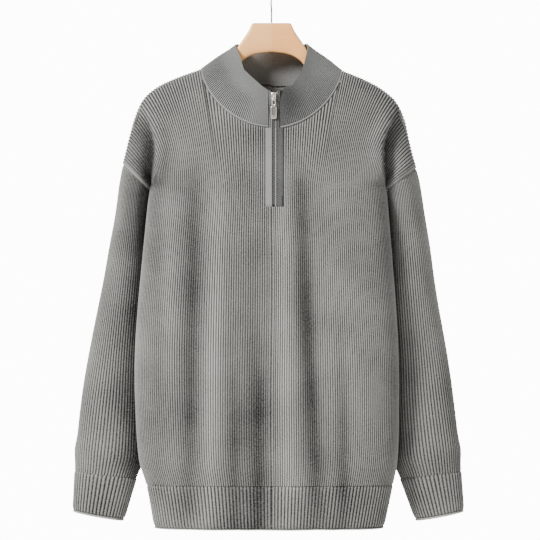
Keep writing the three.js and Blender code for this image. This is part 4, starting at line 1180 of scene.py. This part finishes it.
def build_band(name: str, base: Array, length: float, shares: Array, ribs: int, height: float, closed: bool,
               nodes: Sequence[str], finishes: Finishes, light: Array | float = 1.0) -> bpy.types.Object:
    """Builds a rib band with a flat cast-off edge: the ribs end in a groove painted dark as shade, then a pale thin
    cord.

    Args:
        name: the piece's name.
        base: rows by columns of points on the band's groove surface.
        length: the band's length in millimetres.
        shares: where the rows are along it.
        ribs: how many ribs there are across the columns.
        height: the ribs' height.
        closed: whether it goes all the way round.
        nodes: the CAD nodes that it stands for.
        finishes: the materials.
        light: how much light each point of the base catches.

    Returns:
        The band.
    """
    groove, cord = 4.2, 2.2
    out = wrap(normals(base[:, :-1], closed=True)) if closed else normals(base)
    extra = np.array([length - groove - 1.2, length - groove, length - cord, length - 0.7 * cord,
                      length - 0.3 * cord, length])
    places = np.concatenate([shares * length, extra])
    places = np.unique(np.round(places, 4))
    places = places[(places <= length - groove - 1.2) | np.isin(places, np.round(extra, 4))]
    while (len(places) - 1) % 3:
        middle = np.argmax(np.diff(places))
        places = np.insert(places, middle + 1, places[middle:middle + 2].mean())
    at_rows = np.array([np.argmin(np.abs(shares * length - place)) for place in places])
    own = shares * length
    base = np.stack([[np.interp(places, own, base[:, j, k]) for k in range(3)] for j in range(base.shape[1])])
    base = np.moveaxis(base, (0, 1, 2), (1, 2, 0))
    light = np.broadcast_to(light, out.shape[:-1])[at_rows]
    out = unit(out[at_rows])
    count = np.linspace(0, ribs, base.shape[1])
    to_edge = length - places[:, None]
    rib_share = smooth(to_edge, groove - 0.2, groove + 2.5) * smooth(places[:, None], 0.0, 2.5)
    edge = np.sqrt(np.clip(1 - ((to_edge - cord / 2) / (cord / 2)) ** 2, 0, 1)) * (to_edge <= cord)
    base = base + out * (edge * 0.9)[..., None]
    profile = rib_profile(count)[None, :]
    # Painted light and shade: the ribs' painted groove shade times the folds' painted light, and the groove above the
    # cord painted black as shade.
    ribbed = CREST_TONE * profile ** TONE_POWER * light
    tone = np.clip(np.where(to_edge <= cord, 0.8, np.where(to_edge < groove, 0.0, ribbed)), 0, 1)
    raised = base + out * (profile * height * rib_share)[..., None]
    mesh = Mesh(name, period=float(ribs) if closed else 0.0)
    chart = np.stack(np.broadcast_arrays(count[None, :], places[:, None]), -1)
    tone = np.broadcast_to(tone, base.shape[:-1])
    own_columns = slice(None, -1) if closed else slice(None)
    outer = mesh.add(raised[:, own_columns], chart[:, own_columns], tone[:, own_columns])
    inner_points = (base - out * CLOTH)[::3, ::3][:, own_columns]
    inner = mesh.add(inner_points, chart[::3, ::3][:, own_columns], INSIDE_SHADE_TONE)
    if closed:
        outer, inner = wrap(outer), wrap(inner)
    mesh.weave(outer)
    mesh.weave(inner, flip=True)
    mesh.rim(outer[0], inner[0])
    mesh.rim(outer[-1], inner[-1], flip=True)
    if not closed:
        mesh.rim(outer[:, 0], inner[:, 0], flip=True)
        mesh.rim(outer[:, -1], inner[:, -1])
    return mesh.build(SWEATER, nodes, "rib_band", finishes.band)


@dataclass
class HemBand:
    """The coarse rib band round the bottom of the body, in a front half and a back half."""

    finishes: Finishes
    ribs: int = 84
    points_per_rib: int = 6
    rows: int = 12
    rib_height: float = 1.6

    def build(self, face: Face) -> bpy.types.Object:
        """Builds one half from seam to seam.

        Args:
            face: front or back.

        Returns:
            The half band.
        """
        columns = self.ribs * self.points_per_rib
        across = np.linspace(-1, 1, columns + 1) * -face.value
        side = np.where(across < 0, -1.0, 1.0)
        share = np.abs(across) * 0.9996
        shares = np.linspace(0, 1, self.rows + 1)
        top = HEM_TOP_DROP + SEAM_GAP
        drop = lerp(top, HEM_BOTTOM_DROP, shares)[:, None]
        base = FORM.body(side[None, :], FORM.panel_share(face, share)[None, :], drop)
        base[..., 1] -= face.value * FORM.fold(face, base[..., 0], np.full(base.shape[:-1], HEM_TOP_DROP - 1))
        half = f"hem_{face.name.lower()}"
        nodes = [f"{half}_{side_name.key}" for side_name in Side]
        piece = build_band(f"knit_{half}", base, HEM_BOTTOM_DROP - top, shares, self.ribs, self.rib_height, False,
                           nodes, self.finishes, FORM.fold_light(face, base))
        return piece


@dataclass
class Collar:
    """The stand-up collar in fine rib and the raised seam that joins it to the body."""

    finishes: Finishes
    ribs: int = 212
    points_per_rib: int = 4
    rows: int = 30
    facing_width: float = 5.4

    def turn_at(self, x: float, down: Array) -> Array:
        """The angle round the neck at which the collar's front is this far from the middle, by halving."""
        low = np.full(down.shape, -math.pi / 3)
        high = np.full(down.shape, math.pi / 3)
        for _ in range(24):
            middle = (low + high) / 2
            before = FORM.collar(middle, down)[..., 0] < x
            low = np.where(before, middle, low)
            high = np.where(before, high, middle)
        return (low + high) / 2

    def edges(self, down: Array) -> tuple[Array, Array]:
        """The angles at which the collar starts and ends beside the zip's facings."""
        half = ZIP_GAP / 2 + self.facing_width + 2 * SEAM_GAP
        return self.turn_at(ZIP_X + half, down), 2 * math.pi + self.turn_at(ZIP_X - half, down)

    def build(self) -> bpy.types.Object:
        """Builds the collar, its fine ribs fading near the top edge and the zip.

        Returns:
            The collar.
        """
        columns = self.ribs * self.points_per_rib
        share = np.linspace(0, 1, self.rows + 1)
        start, end = self.edges(share)
        turn = lerp(start[:, None], end[:, None], np.linspace(0, 1, columns + 1)[None, :])
        down = share[:, None] * FORM.collar_above(turn, NECK_WELT_LENGTH - SEAM_GAP)
        base = FORM.collar(turn, down)
        lengths = np.linalg.norm(base - base[:1], axis=-1)
        ribs = np.broadcast_to(np.linspace(0, self.ribs, columns + 1)[None, :], base.shape[:-1])
        side = np.abs(np.sin(turn))
        clear = smooth(side, 0.12, 0.5) * smooth(share[:, None], 0.15, 0.62)
        height = 0.1 + 1.5 * clear
        top_roll = smooth(lengths, 0.0, 2.5)
        height = height * top_roll
        wall = ClothWall("knit_collar", base, ribs, lengths, height, wall=COLLAR_WALL, coarse=2, tone=1.0,
                         outward=FORM.neck_outward(turn))
        mesh = wall.mesh()
        # Painted light and shade: where the ribs are clear their grooves get deep painted shade and their crests
        # painted light; the felted knit keeps an even tone; all of it times the painted shade of shade().
        ribbed = lerp(0.42, 1.3 * rib_profile(ribs) ** 4, 0.08 + 0.92 * clear)
        mesh.tones[0] = np.clip(ribbed * self.shade(turn, share[:, None]), 0, 1).reshape(-1)
        piece = mesh.build(SWEATER, ["collar"], "collar_knit", self.finishes.collar)
        return piece

    @staticmethod
    def shade(turn: Array, share: Array) -> Array:
        """Painted shade on the felted knit: darker on its right half, most of all in the hollow beside the zip."""
        across = np.sin(turn)
        front = np.cos(turn) > 0
        right = 0.42 * smooth(across, 0.02, 0.12) * (1 - 0.5 * smooth(across, 0.75, 1.0))
        hollow = 0.3 * bell(across, 0.36, 0.24) * bell(share, 0.35, 0.45)
        return 1 - np.where(front, right + hollow, 0.0)

    def build_welt(self) -> bpy.types.Object:
        """Builds the raised cord of the neck seam, half round in section."""
        columns = 480
        rows = 8
        share = np.linspace(0, 1, rows + 1)
        start, end = self.edges(np.ones(1))
        turn = lerp(start, end, np.linspace(0, 1, columns + 1)[None, :])
        turn = np.broadcast_to(turn, (rows + 1, columns + 1))
        above = (NECK_WELT_LENGTH + 1.4) * (1 - share)[:, None] - 0.8
        down = FORM.collar_above(turn, above)
        out = FORM.neck_outward(turn)
        proud = (WELT_PROUD + 0.9) * np.sin(math.pi * share)[:, None] ** 1.2
        base = FORM.collar(turn, down) + out * proud[..., None]
        ribs = np.broadcast_to(np.linspace(0, 260, columns + 1)[None, :], base.shape[:-1])
        lengths = np.broadcast_to((share * NECK_WELT_LENGTH)[:, None], base.shape[:-1])
        # Painted shade: the cord's tone falls to nothing at both its edges, where it meets the collar and the body.
        tone = np.sin(math.pi * share)[:, None] ** 1.2
        wall = ClothWall("knit_neck_welt", base, ribs, lengths, 0.0, coarse=2, outward=out,
                         tone=np.broadcast_to(tone, base.shape[:-1]))
        return wall.mesh().build(SWEATER, ["neck_welt"], "seam_knit", self.finishes.seam)


@dataclass
class Zip:
    """The closed quarter zip: facings, tape, teeth, slider, link and pull tab."""

    finishes: Finishes
    facing_wall: float = 2.2
    facing_proud: float = 0.4
    collar_facing_width: float = 5.4
    tape_width: float = 16.0
    tape_wall: float = 0.8
    tooth_pitch: float = 1.3
    shift: float = -1.1
    slider_drop: float = 198.5
    slider_height: float = 13.0
    # Each section's tone is painted light and shade across a strip: dark at the edges and in the folds where its face
    # sinks, light where it rises; the shaded section is painted darker all over.
    plain_section: Table = Table("share rise tone", (
        (0, -0.9, 0.1), (0.05, -0.3, 0.35), (0.12, 0.0, 0.9), (0.5, 0.1, 1.0), (0.86, 0.1, 1.0), (0.95, -0.2, 0.9),
        (1, -0.9, 0.4),
    ))
    rolled_section: Table = Table("share rise tone", (
        (0, -0.8, 0.3), (0.04, 0.1, 0.9), (0.1, 0.4, 1.0), (0.16, 0.1, 0.6), (0.2, -0.3, 0.05), (0.26, -0.1, 0.2),
        (0.6, 0.0, 0.3), (0.88, -0.1, 0.22), (0.93, -0.2, 0.15), (0.975, -0.6, -0.1), (1, -0.8, 0.0),
        (1.15, -0.9, 0.3),
    ))
    narrow_section: Table = Table("share rise tone", (
        (0, -0.9, -0.3), (0.1, -0.3, 0.1), (0.25, 0.2, 0.6), (0.5, 0.0, 0.5), (0.62, -0.2, 0.3), (0.75, 0.1, 0.7),
        (0.9, 0.2, 0.9), (1, -0.7, 0.4),
    ))
    shaded_section: Table = Table("share rise tone", (
        (0, -0.7, 0.3), (0.12, 0.2, 0.65), (0.3, 0.0, 0.3), (0.5, -0.1, 0.2), (0.75, 0.1, 0.3), (0.86, -0.3, 0.0),
        (0.94, -0.8, -0.3), (1, -0.9, -0.3),
    ))

    def strip(self, name: str, node: str, left: float, right: float, top: float, bottom: float, proud: float,
              wall: float, slot: str, material: bpy.types.Material, section: Table,
              flare: tuple[float, float] = (0.0, 0.0), slope: float = 0.0, step: float = 0.0) -> bpy.types.Object:
        """Builds a flat strip down the front's middle line.

        Args:
            name: the piece's name.
            node: the CAD node that it stands for.
            left: its left edge's X.
            right: its right edge's X.
            top: the drop of its top.
            bottom: the drop of its bottom.
            proud: how far its face is in front of the middle line.
            wall: its thickness.
            slot: the record's slot.
            material: its finish.
            section: the face's rise, and its tone of painted light and shade, by the share across.
            flare: how far the left and right edges turn away beside the slider, as a bell along the drop.
            slope: how much lower the top edge lies at the right end than at the left, or higher where negative.
            step: how far the stitched line at its right edge steps in near the bottom.

        Returns:
            The strip.
        """
        rows = 3 * max(int((bottom - top) / 6), 2)
        columns = 24
        share = np.linspace(0, 1, columns + 1)[None, :]
        high = top + slope * (share if slope > 0 else share - 1)
        drop = lerp(high, bottom, np.linspace(0, 1, rows + 1)[:, None])
        beside = bell(drop, self.slider_drop + 2, 9.0)
        x = lerp(left + flare[0] * beside, right + flare[1] * beside, share)
        place = share + step / (right - left) * smooth(drop, 354, 355.5) * smooth(share, 0.5, 0.7)
        depth = FORM.front_y(drop) - proud - section.read("rise", share)
        base = np.stack(np.broadcast_arrays(x, depth, -drop), -1)
        out = np.broadcast_to(np.array([0.0, -1.0, 0.0]), base.shape)
        ribs = np.broadcast_to(x / 1.6, base.shape[:-1])
        lengths = np.broadcast_to(drop, base.shape[:-1])
        tone = np.broadcast_to(section.read("tone", place), base.shape[:-1])
        cloth = ClothWall(name, base, ribs, lengths, 0.0, wall=wall, outward=out, tone=tone)
        return cloth.mesh().build(SWEATER, [node], slot, material)

    def build_facings(self) -> None:
        """Builds the plain strips beside the zip on the body and on the collar."""
        neck = -float(FORM.neckline(np.array(0.0))[2])
        inner_left = ZIP_X - ZIP_GAP / 2 + 0.2
        inner_right = ZIP_X + 0.7
        body = (neck - 1.5, SLIT_BOTTOM_DROP - SEAM_GAP)
        collar = (ZIP_TOP_DROP + SEAM_GAP, neck - SEAM_GAP)
        outer_left = inner_left - self.collar_facing_width - 0.6
        outer_right = ZIP_X + ZIP_GAP / 2 + self.collar_facing_width + 0.6
        rows = (
            ("placket_left", SLIT_X[0] - 0.2, inner_left, body, self.plain_section, (0.0, 0.0), 0.0, 0.0),
            ("placket_right", inner_right, SLIT_X[1] + 0.2, body, self.rolled_section, (0.0, 0.0), 0.0, 2.0),
            ("collar_facing_left", outer_left, inner_left, collar, self.narrow_section, (0.0, -2.2), 3.0, 0.0),
            ("collar_facing_right", inner_right, outer_right, collar, self.shaded_section, (3.6, 0.0), -3.0, 0.0),
        )
        for node, left, right, (top, bottom), section, flare, slope, step in rows:
            self.strip(f"knit_{node}", node, left, right, top - abs(slope), bottom, self.facing_proud + 0.5,
                       self.facing_wall, "facing_knit", self.finishes.facing, section, flare, slope, step)

    def build_tape(self) -> bpy.types.Object:
        """Builds the tape behind the facings."""
        back = SEAM_GAP + self.facing_wall - self.facing_proud
        half = self.tape_width / 2
        flat = Table("share rise tone", ((0, 0, 1), (0.5, 0, 1), (1, 0, 1)))
        return self.strip("zip_tape_weave", "zip_tape", ZIP_X - half, ZIP_X + half, ZIP_TOP_DROP + 1,
                          SLIT_BOTTOM_DROP - 1, -back, self.tape_wall, "zip_tape", self.finishes.tape, flat)

    def build_teeth(self) -> bpy.types.Object:
        """Builds two rows of teeth that mesh in the middle, each tooth a small block that narrows to a flat front face.
        """
        top = self.slider_drop + self.slider_height + SEAM_GAP
        count = int((SLIT_BOTTOM_DROP - 2 - top) / self.tooth_pitch)
        drops = top + self.tooth_pitch * (np.arange(count) + 0.5)
        left = np.arange(count) % 2 == 0
        middle = ZIP_X - 1.1 + np.where(left, -0.7, 0.7)
        back = FORM.front_y(drops) + self.facing_wall - self.facing_proud
        corners = np.array([
            (-1.1, 0.0, -0.5), (1.1, 0.0, -0.5), (1.1, 0.0, 0.5), (-1.1, 0.0, 0.5),
            (-0.8, -1.3, -0.35), (0.8, -1.3, -0.35), (0.8, -1.3, 0.35), (-0.8, -1.3, 0.35),
        ])
        centres = np.stack([middle, back, -drops], -1)
        mesh = Mesh("zip_teeth")
        numbers = mesh.add(centres[:, None, :] + corners[None, :, :])
        sides = np.array([(0, 3, 2, 1), (4, 5, 6, 7), (0, 1, 5, 4), (1, 2, 6, 5), (2, 3, 7, 6), (3, 0, 4, 7)])
        mesh.quads.append(numbers[:, sides].reshape(-1, 4))
        return mesh.build(SWEATER, ["zip_chain"], "zip_teeth", self.finishes.teeth, sharp_degrees=30)

    def build_stitches(self) -> None:
        """Builds the row of thread across the zip's lower end."""
        mesh = Mesh("zip_stitches")
        across = np.arange(SLIT_X[0] + 1.2, SLIT_X[1] - 0.6, 2.6)
        self.thread(mesh, np.stack([across, np.full(across.shape, SLIT_BOTTOM_DROP - 2.4)], -1))
        mesh.build(SWEATER, [], "facing_knit", self.finishes.thread)

    def thread(self, mesh: Mesh, places: Array) -> None:
        """Adds short stitches that run across, each a six-sided bar with pointed ends.

        Args:
            mesh: where they are added.
            places: X and drop of each stitch's middle.
        """
        turn = np.linspace(0, 2 * math.pi, 6, endpoint=False)
        along = np.array([-0.9, -0.6, 0.6, 0.9])
        size = np.array([0.05, 0.35, 0.35, 0.05])
        ring = np.stack([np.broadcast_to(along[:, None], (4, 6)), size[:, None] * np.sin(turn),
                         size[:, None] * np.cos(turn)], -1)
        front = FORM.front_y(places[:, 1]) - self.facing_proud - 0.55
        centres = np.stack([places[:, 0], front, -places[:, 1]], -1)
        numbers = mesh.add(centres[:, None, None, :] + ring[None])
        numbers = np.concatenate([numbers, numbers[..., :1]], -1)
        for stitch in numbers:
            mesh.weave(stitch)

    def tube(self, mesh: Mesh, line: Array, radius: Array | float, closed: bool) -> None:
        """Adds a round bar along a line in a plane of constant X or Y, or any gentle line.

        Each ring lies square to the line: its two axes are X or Y crossed with the line's way, and their cross product.

        Args:
            mesh: where it is added.
            line: points along the middle.
            radius: the bar's radius, or one for each point.
            closed: whether the line comes back to its start.
        """
        if closed:
            way = unit(np.roll(line, -1, axis=0) - np.roll(line, 1, axis=0))
        else:
            way = unit(np.gradient(line, axis=0))
        spread = np.ptp(line, axis=0)
        axis = np.eye(3)[int(np.argmin(spread))]
        side = unit(np.cross(way, axis))
        turn = np.linspace(0, 2 * math.pi, 12, endpoint=False)
        size = np.broadcast_to(radius, (len(line),))[:, None, None]
        rings = line[:, None] + size * (
            np.cos(turn)[None, :, None] * side[:, None] + np.sin(turn)[None, :, None] * axis[None, None])
        numbers = wrap(mesh.add(rings))
        if closed:
            numbers = np.concatenate([numbers, numbers[:1]])
        mesh.weave(numbers, flip=True)
        if not closed:
            mesh.fan(numbers[0, :-1], int(numbers[0, 0]))
            mesh.fan(numbers[-1, :-1], int(numbers[-1, 0]), flip=True)

    def build_slider(self) -> bpy.types.Object:
        """Builds the slider: a waisted body with a rounded edge, and an arched bridge that holds the link."""
        low, high = (np.array(corner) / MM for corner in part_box("zip_slider"))
        back = high[1]
        turn = np.linspace(0, 2 * math.pi, 48, endpoint=False)
        round_x = np.sign(np.cos(turn)) * np.abs(np.cos(turn)) ** 0.6
        round_z = np.sign(np.sin(turn)) * np.abs(np.sin(turn)) ** 0.6
        half_height = (high[2] - low[2]) / 2
        waist = 1 - 0.2 * smooth(-round_z, -0.4, 0.9) - 0.1 * bell(round_z, 0.1, 0.3)
        loops = ((0.0, 1.0), (-0.4, 1.0), (-2.4, 1.0), (-3.0, 0.82), (-3.0, 0.5), (-2.6, 0.42))
        rings = [
            np.stack([ZIP_X + self.shift + 3.9 * size * waist * round_x, np.full(48, back + depth),
                      (low[2] + high[2]) / 2 + (half_height - 3.9 * (1 - size)) * round_z], -1)
            for depth, size in loops
        ]
        mesh = Mesh("zip_slider_body")
        numbers = wrap(mesh.add(np.stack(rings)))
        mesh.weave(numbers)
        mesh.fan(numbers[0, :-1], int(numbers[0, 0]))
        mesh.fan(numbers[-1, :-1], int(numbers[-1, 0]), flip=True)
        arc = np.linspace(-0.1, math.pi + 0.1, 24)
        front = back - 3.0
        line = np.stack([np.full(24, ZIP_X + self.shift), front - 2.4 * np.sin(arc),
                         -(self.slider_drop + 8.0) + 4.2 * np.cos(arc)], -1)
        self.tube(mesh, line, 0.85, False)
        roof = np.array([(-3.6, 3.9), (-1.6, 2.9), (0.0, 1.6), (1.6, 2.9), (3.6, 3.9)])
        crown = np.stack([
            ZIP_X + self.shift + roof[:, 0], np.full(5, front - 0.2), -(self.slider_drop + roof[:, 1])], -1)
        self.tube(mesh, crown, 0.7, False)
        self.build_stops()
        return mesh.build(SWEATER, ["zip_slider"], "nickel", self.finishes.nickel, sharp_degrees=45)

    def build_stops(self) -> bpy.types.Object:
        """Builds the two small stops on the tape above the slider."""
        mesh = Mesh("zip_top_stops")
        for x in (ZIP_X - 1.0, ZIP_X + 2.9):
            face = float(FORM.front_y(np.array(self.slider_drop))) + 1.0
            line = np.stack([np.full(4, x), np.full(4, face), -self.slider_drop + np.linspace(0.6, -1.8, 4)], -1)
            self.tube(mesh, line, 0.75, False)
        return mesh.build(SWEATER, [], "nickel", self.finishes.nickel, sharp_degrees=45)

    def build_link(self) -> bpy.types.Object:
        """Builds the link: a wire loop with round corners through the bridge and the tab's top."""
        low, high = (np.array(corner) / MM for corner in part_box("zip_link"))
        turn = np.linspace(0, 2 * math.pi, 48, endpoint=False)
        half_width, half_height = 2.3, (high[2] - low[2]) / 2 - 0.7
        line = np.stack([
            ZIP_X + self.shift + half_width * np.sign(np.cos(turn)) * np.abs(np.cos(turn)) ** 0.55,
            np.full(48, (low[1] + high[1]) / 2),
            (low[2] + high[2]) / 2 + half_height * np.sign(np.sin(turn)) * np.abs(np.sin(turn)) ** 0.55,
        ], -1)
        mesh = Mesh("zip_link_loop")
        self.tube(mesh, line, 0.65, True)
        return mesh.build(PULL, ["zip_link"], "nickel", self.finishes.nickel, sharp_degrees=60)

    def build_pull(self) -> None:
        """Builds the pull tab: a rounded frame round a dark sunk inset, with a small eye near its foot.

        An outline is a rounded rectangle by the angle from the eye's middle: each ray is walked to the edge by
        halving steps. The inset is a thin plate of its own in the frame.
        """
        low, high = (np.array(corner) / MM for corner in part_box("zip_pull"))
        centre = (low + high) / 2 + np.array([self.shift, 0, 0])
        half_width, half_height = (high[0] - low[0]) / 2 - 0.5, (high[2] - low[2]) / 2
        half_depth = (high[1] - low[1]) / 2
        eye = np.array([0.0, -half_height + 2.6])
        turn = np.linspace(0, 2 * math.pi, 72, endpoint=False)

        def outline(inset: float, corner: float, middle: Array, size: Array) -> Array:
            """A rounded rectangle's points by their angle from a middle inside it."""
            way = np.stack([np.cos(turn), np.sin(turn)], -1)
            reach = np.zeros(len(turn))
            step = 16.0
            for _ in range(24):
                place = middle + way * (reach + step)[:, None]
                beyond = np.abs(place) - (size - inset - corner)
                inside = np.linalg.norm(np.maximum(beyond, 0), axis=-1) <= corner
                reach = np.where(inside, reach + step, reach)
                step /= 2
            return middle + way * reach[:, None]

        size = np.array([half_width, half_height])
        window = np.array([0.0, 1.9])
        window_size = np.array([half_width - 1.25, half_height - 3.6])
        rounds = (
            (1.2, 0.8, half_depth),
            (0.4, 1.8, half_depth),
            (0.1, 2.1, half_depth - 0.15),
            (0.0, 2.2, half_depth - 0.4),
            (0.0, 2.2, 0.4 - half_depth),
            (0.1, 2.1, 0.15 - half_depth),
            (0.4, 1.8, -half_depth),
        )
        whole = [(outline(inset, corner, np.zeros(2), size), depth) for inset, corner, depth in rounds]
        pane = outline(0.0, 0.9, np.zeros(2), window_size) + window
        rings = [*whole, (pane, -half_depth), (pane, -half_depth + 0.9), (pane, half_depth), whole[0]]
        points = np.stack([np.stack([line[:, 0], np.full(72, depth), line[:, 1]], -1) for line, depth in rings[:-1]])
        mesh = Mesh("zip_pull_tab")
        numbers = wrap(mesh.add(points + centre))
        mesh.weave(np.concatenate([numbers, numbers[:1]]))
        mesh.build(PULL, ["zip_pull"], "nickel", self.finishes.nickel, sharp_degrees=35)

        inset = Mesh("zip_pull_inset")
        plate = np.stack([np.stack([pane[:, 0], np.full(72, depth), pane[:, 1]], -1)
                          for depth in (half_depth - 0.3, -half_depth + 0.8)])
        numbers = wrap(inset.add(plate + centre))
        inset.weave(numbers)
        inset.fan(numbers[0, :-1], int(numbers[0, 0]))
        inset.fan(numbers[-1, :-1], int(numbers[-1, 0]), flip=True)
        inset.build(PULL, [], "nickel", self.finishes.dark_nickel, sharp_degrees=35)

        ring = Mesh("zip_pull_eye")
        line = np.stack([centre[0] + 1.25 * np.cos(turn), np.full(72, centre[1] - half_depth),
                         centre[2] + eye[1] + 1.25 * np.sin(turn)], -1)
        self.tube(ring, line, 0.3, True)
        ring.build(PULL, [], "nickel", self.finishes.dark_nickel, sharp_degrees=60)


@dataclass
class Hanger:
    """The beech hanger and its wire hook."""

    finishes: Finishes
    half_thickness: float = 5.0
    top: Table = Table("x drop", (
        (0, 88), (27.5, 88), (29.4, 88.6), (31, 90.5), (35, 100), (41, 109), (50, 122), (61, 142), (82, 161),
        (100, 167), (119.5, 171), (142.7, 179.5), (156, 186.5), (165, 197),
    ))
    under: Table = Table("x drop", (
        (0, 132.4), (27, 136.5), (44, 146), (56, 160), (80, 175), (120, 190), (158, 206), (165, 205),
    ))
    wire: float = 1.4
    hook_radius: float = 22.0

    def build_wood(self) -> bpy.types.Object:
        """Builds the arms as rounded sections from one end to the other.

        Each section is an oval of power 3.4 between the top line and the under line, 10 mm thick, that closes to a
        round end at the arm's tip.

        Returns:
            The wood.
        """
        tip = 165.0
        share = np.linspace(-1, 1, 241)
        x = tip * np.sin(math.pi / 2 * np.sign(share) * np.abs(share) ** 0.9)
        away = np.abs(x)
        high = np.interp(away, self.top.column("x"), self.top.column("drop"))
        low = self.under.read("drop", away)
        closing = np.sqrt(np.clip(1 - ((away - (tip - 5)) / 5).clip(0, 1) ** 2, 0.0004, 1))
        middle = (high + low) / 2
        half = (low - high) / 2 * closing
        thick = self.half_thickness * closing
        turn = np.linspace(0, 2 * math.pi, 41)
        power = 2 / 3.4
        round_z = np.sign(np.cos(turn)) * np.abs(np.cos(turn)) ** power
        round_y = np.sign(np.sin(turn)) * np.abs(np.sin(turn)) ** power
        points = np.stack(np.broadcast_arrays(
            x[:, None], thick[:, None] * round_y[None, :], -middle[:, None] + half[:, None] * round_z[None, :]), -1)
        mesh = Mesh("beech_hanger")
        numbers = mesh.add(points[:, :-1])
        mesh.weave(wrap(numbers), flip=True)
        mesh.fan(numbers[0], int(numbers[0, 0]))
        mesh.fan(numbers[-1], int(numbers[-1, 0]), flip=True)
        return mesh.build(SWEATER, ["hanger_wood"], "beech", self.finishes.beech, sharp_degrees=50)

    def dress_hook(self) -> None:
        """Gives the CAD model's hook its bright wire."""
        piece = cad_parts["hanger_hook"]
        piece.data.materials.clear()
        piece.data.materials.append(self.finishes.wire)


@dataclass
class Studio:
    """A pale floor, soft light and a camera where the photograph was taken from."""

    distance: float = 3.5
    view_width: float = 0.826
    centre: tuple[float, float] = (-0.0023, -0.466)
    lit_sky: float = 0.54
    seen_sky: float = 14.0

    def build_floor(self) -> None:
        """Makes the pale floor."""
        mesh = bpy.data.meshes.new("floor")
        size, level = 4.0, -1.75
        mesh.from_pydata([(-size, -size, level), (size, -size, level), (size, size, level), (-size, size, level)], [],
                         [(0, 1, 2, 3)])
        material, tree = new_material("pale_floor")
        close_material(tree, {"Base Color": linear("#f2f1ef"), "Roughness": 0.9})
        mesh.materials.append(material)
        floor = bpy.data.objects.new("floor", mesh)
        bpy.context.scene.collection.objects.link(floor)

    def build_light(self, name: str, place: tuple[float, float, float], size: float, power: float) -> None:
        """Makes a square soft light that points at the sweater's middle."""
        data = bpy.data.lights.new(name, "AREA")
        data.size = size
        data.energy = power
        lamp = bpy.data.objects.new(name, data)
        bpy.context.scene.collection.objects.link(lamp)
        way = np.array(place) - np.array([0.0, 0.0, -0.5])
        lamp.location = place
        lamp.rotation_euler = (
            math.acos(way[2] / float(np.linalg.norm(way))), 0.0, math.atan2(way[1], way[0]) + math.pi / 2)

    def build(self) -> None:
        """Makes the floor, the lights, the pale surroundings and the camera."""
        self.build_floor()
        self.build_light("key_light", (-2.5, -2.1, 1.6), 1.0, 310.0)
        self.build_light("fill_light", (2.4, -2.0, 0.2), 1.8, 22.0)
        self.build_light("back_light", (0.8, 2.6, 1.2), 2.0, 90.0)
        world = bpy.data.worlds.new("pale_studio")
        world.use_nodes = True
        tree = world.node_tree
        tree.nodes.clear()
        rays = add_node(tree, "ShaderNodeLightPath")
        strength = add_node(tree, "ShaderNodeMath", {"operation": "MULTIPLY_ADD"},
                            {0: rays.outputs["Is Camera Ray"], 1: self.seen_sky - self.lit_sky, 2: self.lit_sky})
        sky = add_node(tree, "ShaderNodeBackground", None,
                       {"Color": linear("#f6f6f5"), "Strength": strength.outputs[0]})
        add_node(tree, "ShaderNodeOutputWorld", None, {"Surface": sky.outputs["Background"]})
        bpy.context.scene.world = world
        lens = bpy.data.cameras.new("camera")
        lens.sensor_width = 36.0
        lens.lens = lens.sensor_width * self.distance / self.view_width
        lens.clip_end = 60.0
        camera = bpy.data.objects.new("camera", lens)
        bpy.context.scene.collection.objects.link(camera)
        camera.location = (self.centre[0], -self.distance, self.centre[1])
        camera.rotation_euler = (math.pi / 2, 0.0, 0.0)
        bpy.context.scene.camera = camera


def main() -> None:
    """Builds every sub-assembly in order."""
    logging.basicConfig(level=logging.INFO, format="%(message)s")
    finishes = Finishes()
    hanger = Hanger(finishes)
    hanger.build_wood()
    hanger.dress_hook()
    panels = Panels(finishes)
    for face in Face:
        panels.build(face)
    sleeves = Sleeves(finishes)
    for side in Side:
        sleeves.build_welt(side)
        sleeves.build_sleeve(side)
        sleeves.build_cuff(side)
    hem = HemBand(finishes)
    for face in Face:
        hem.build(face)
    collar = Collar(finishes)
    collar.build_welt()
    collar.build()
    zip_fastener = Zip(finishes)
    zip_fastener.build_facings()
    zip_fastener.build_tape()
    zip_fastener.build_teeth()
    zip_fastener.build_stitches()
    zip_fastener.build_slider()
    zip_fastener.build_link()
    zip_fastener.build_pull()
    Studio().build()


if __name__ == "__main__":
    main()
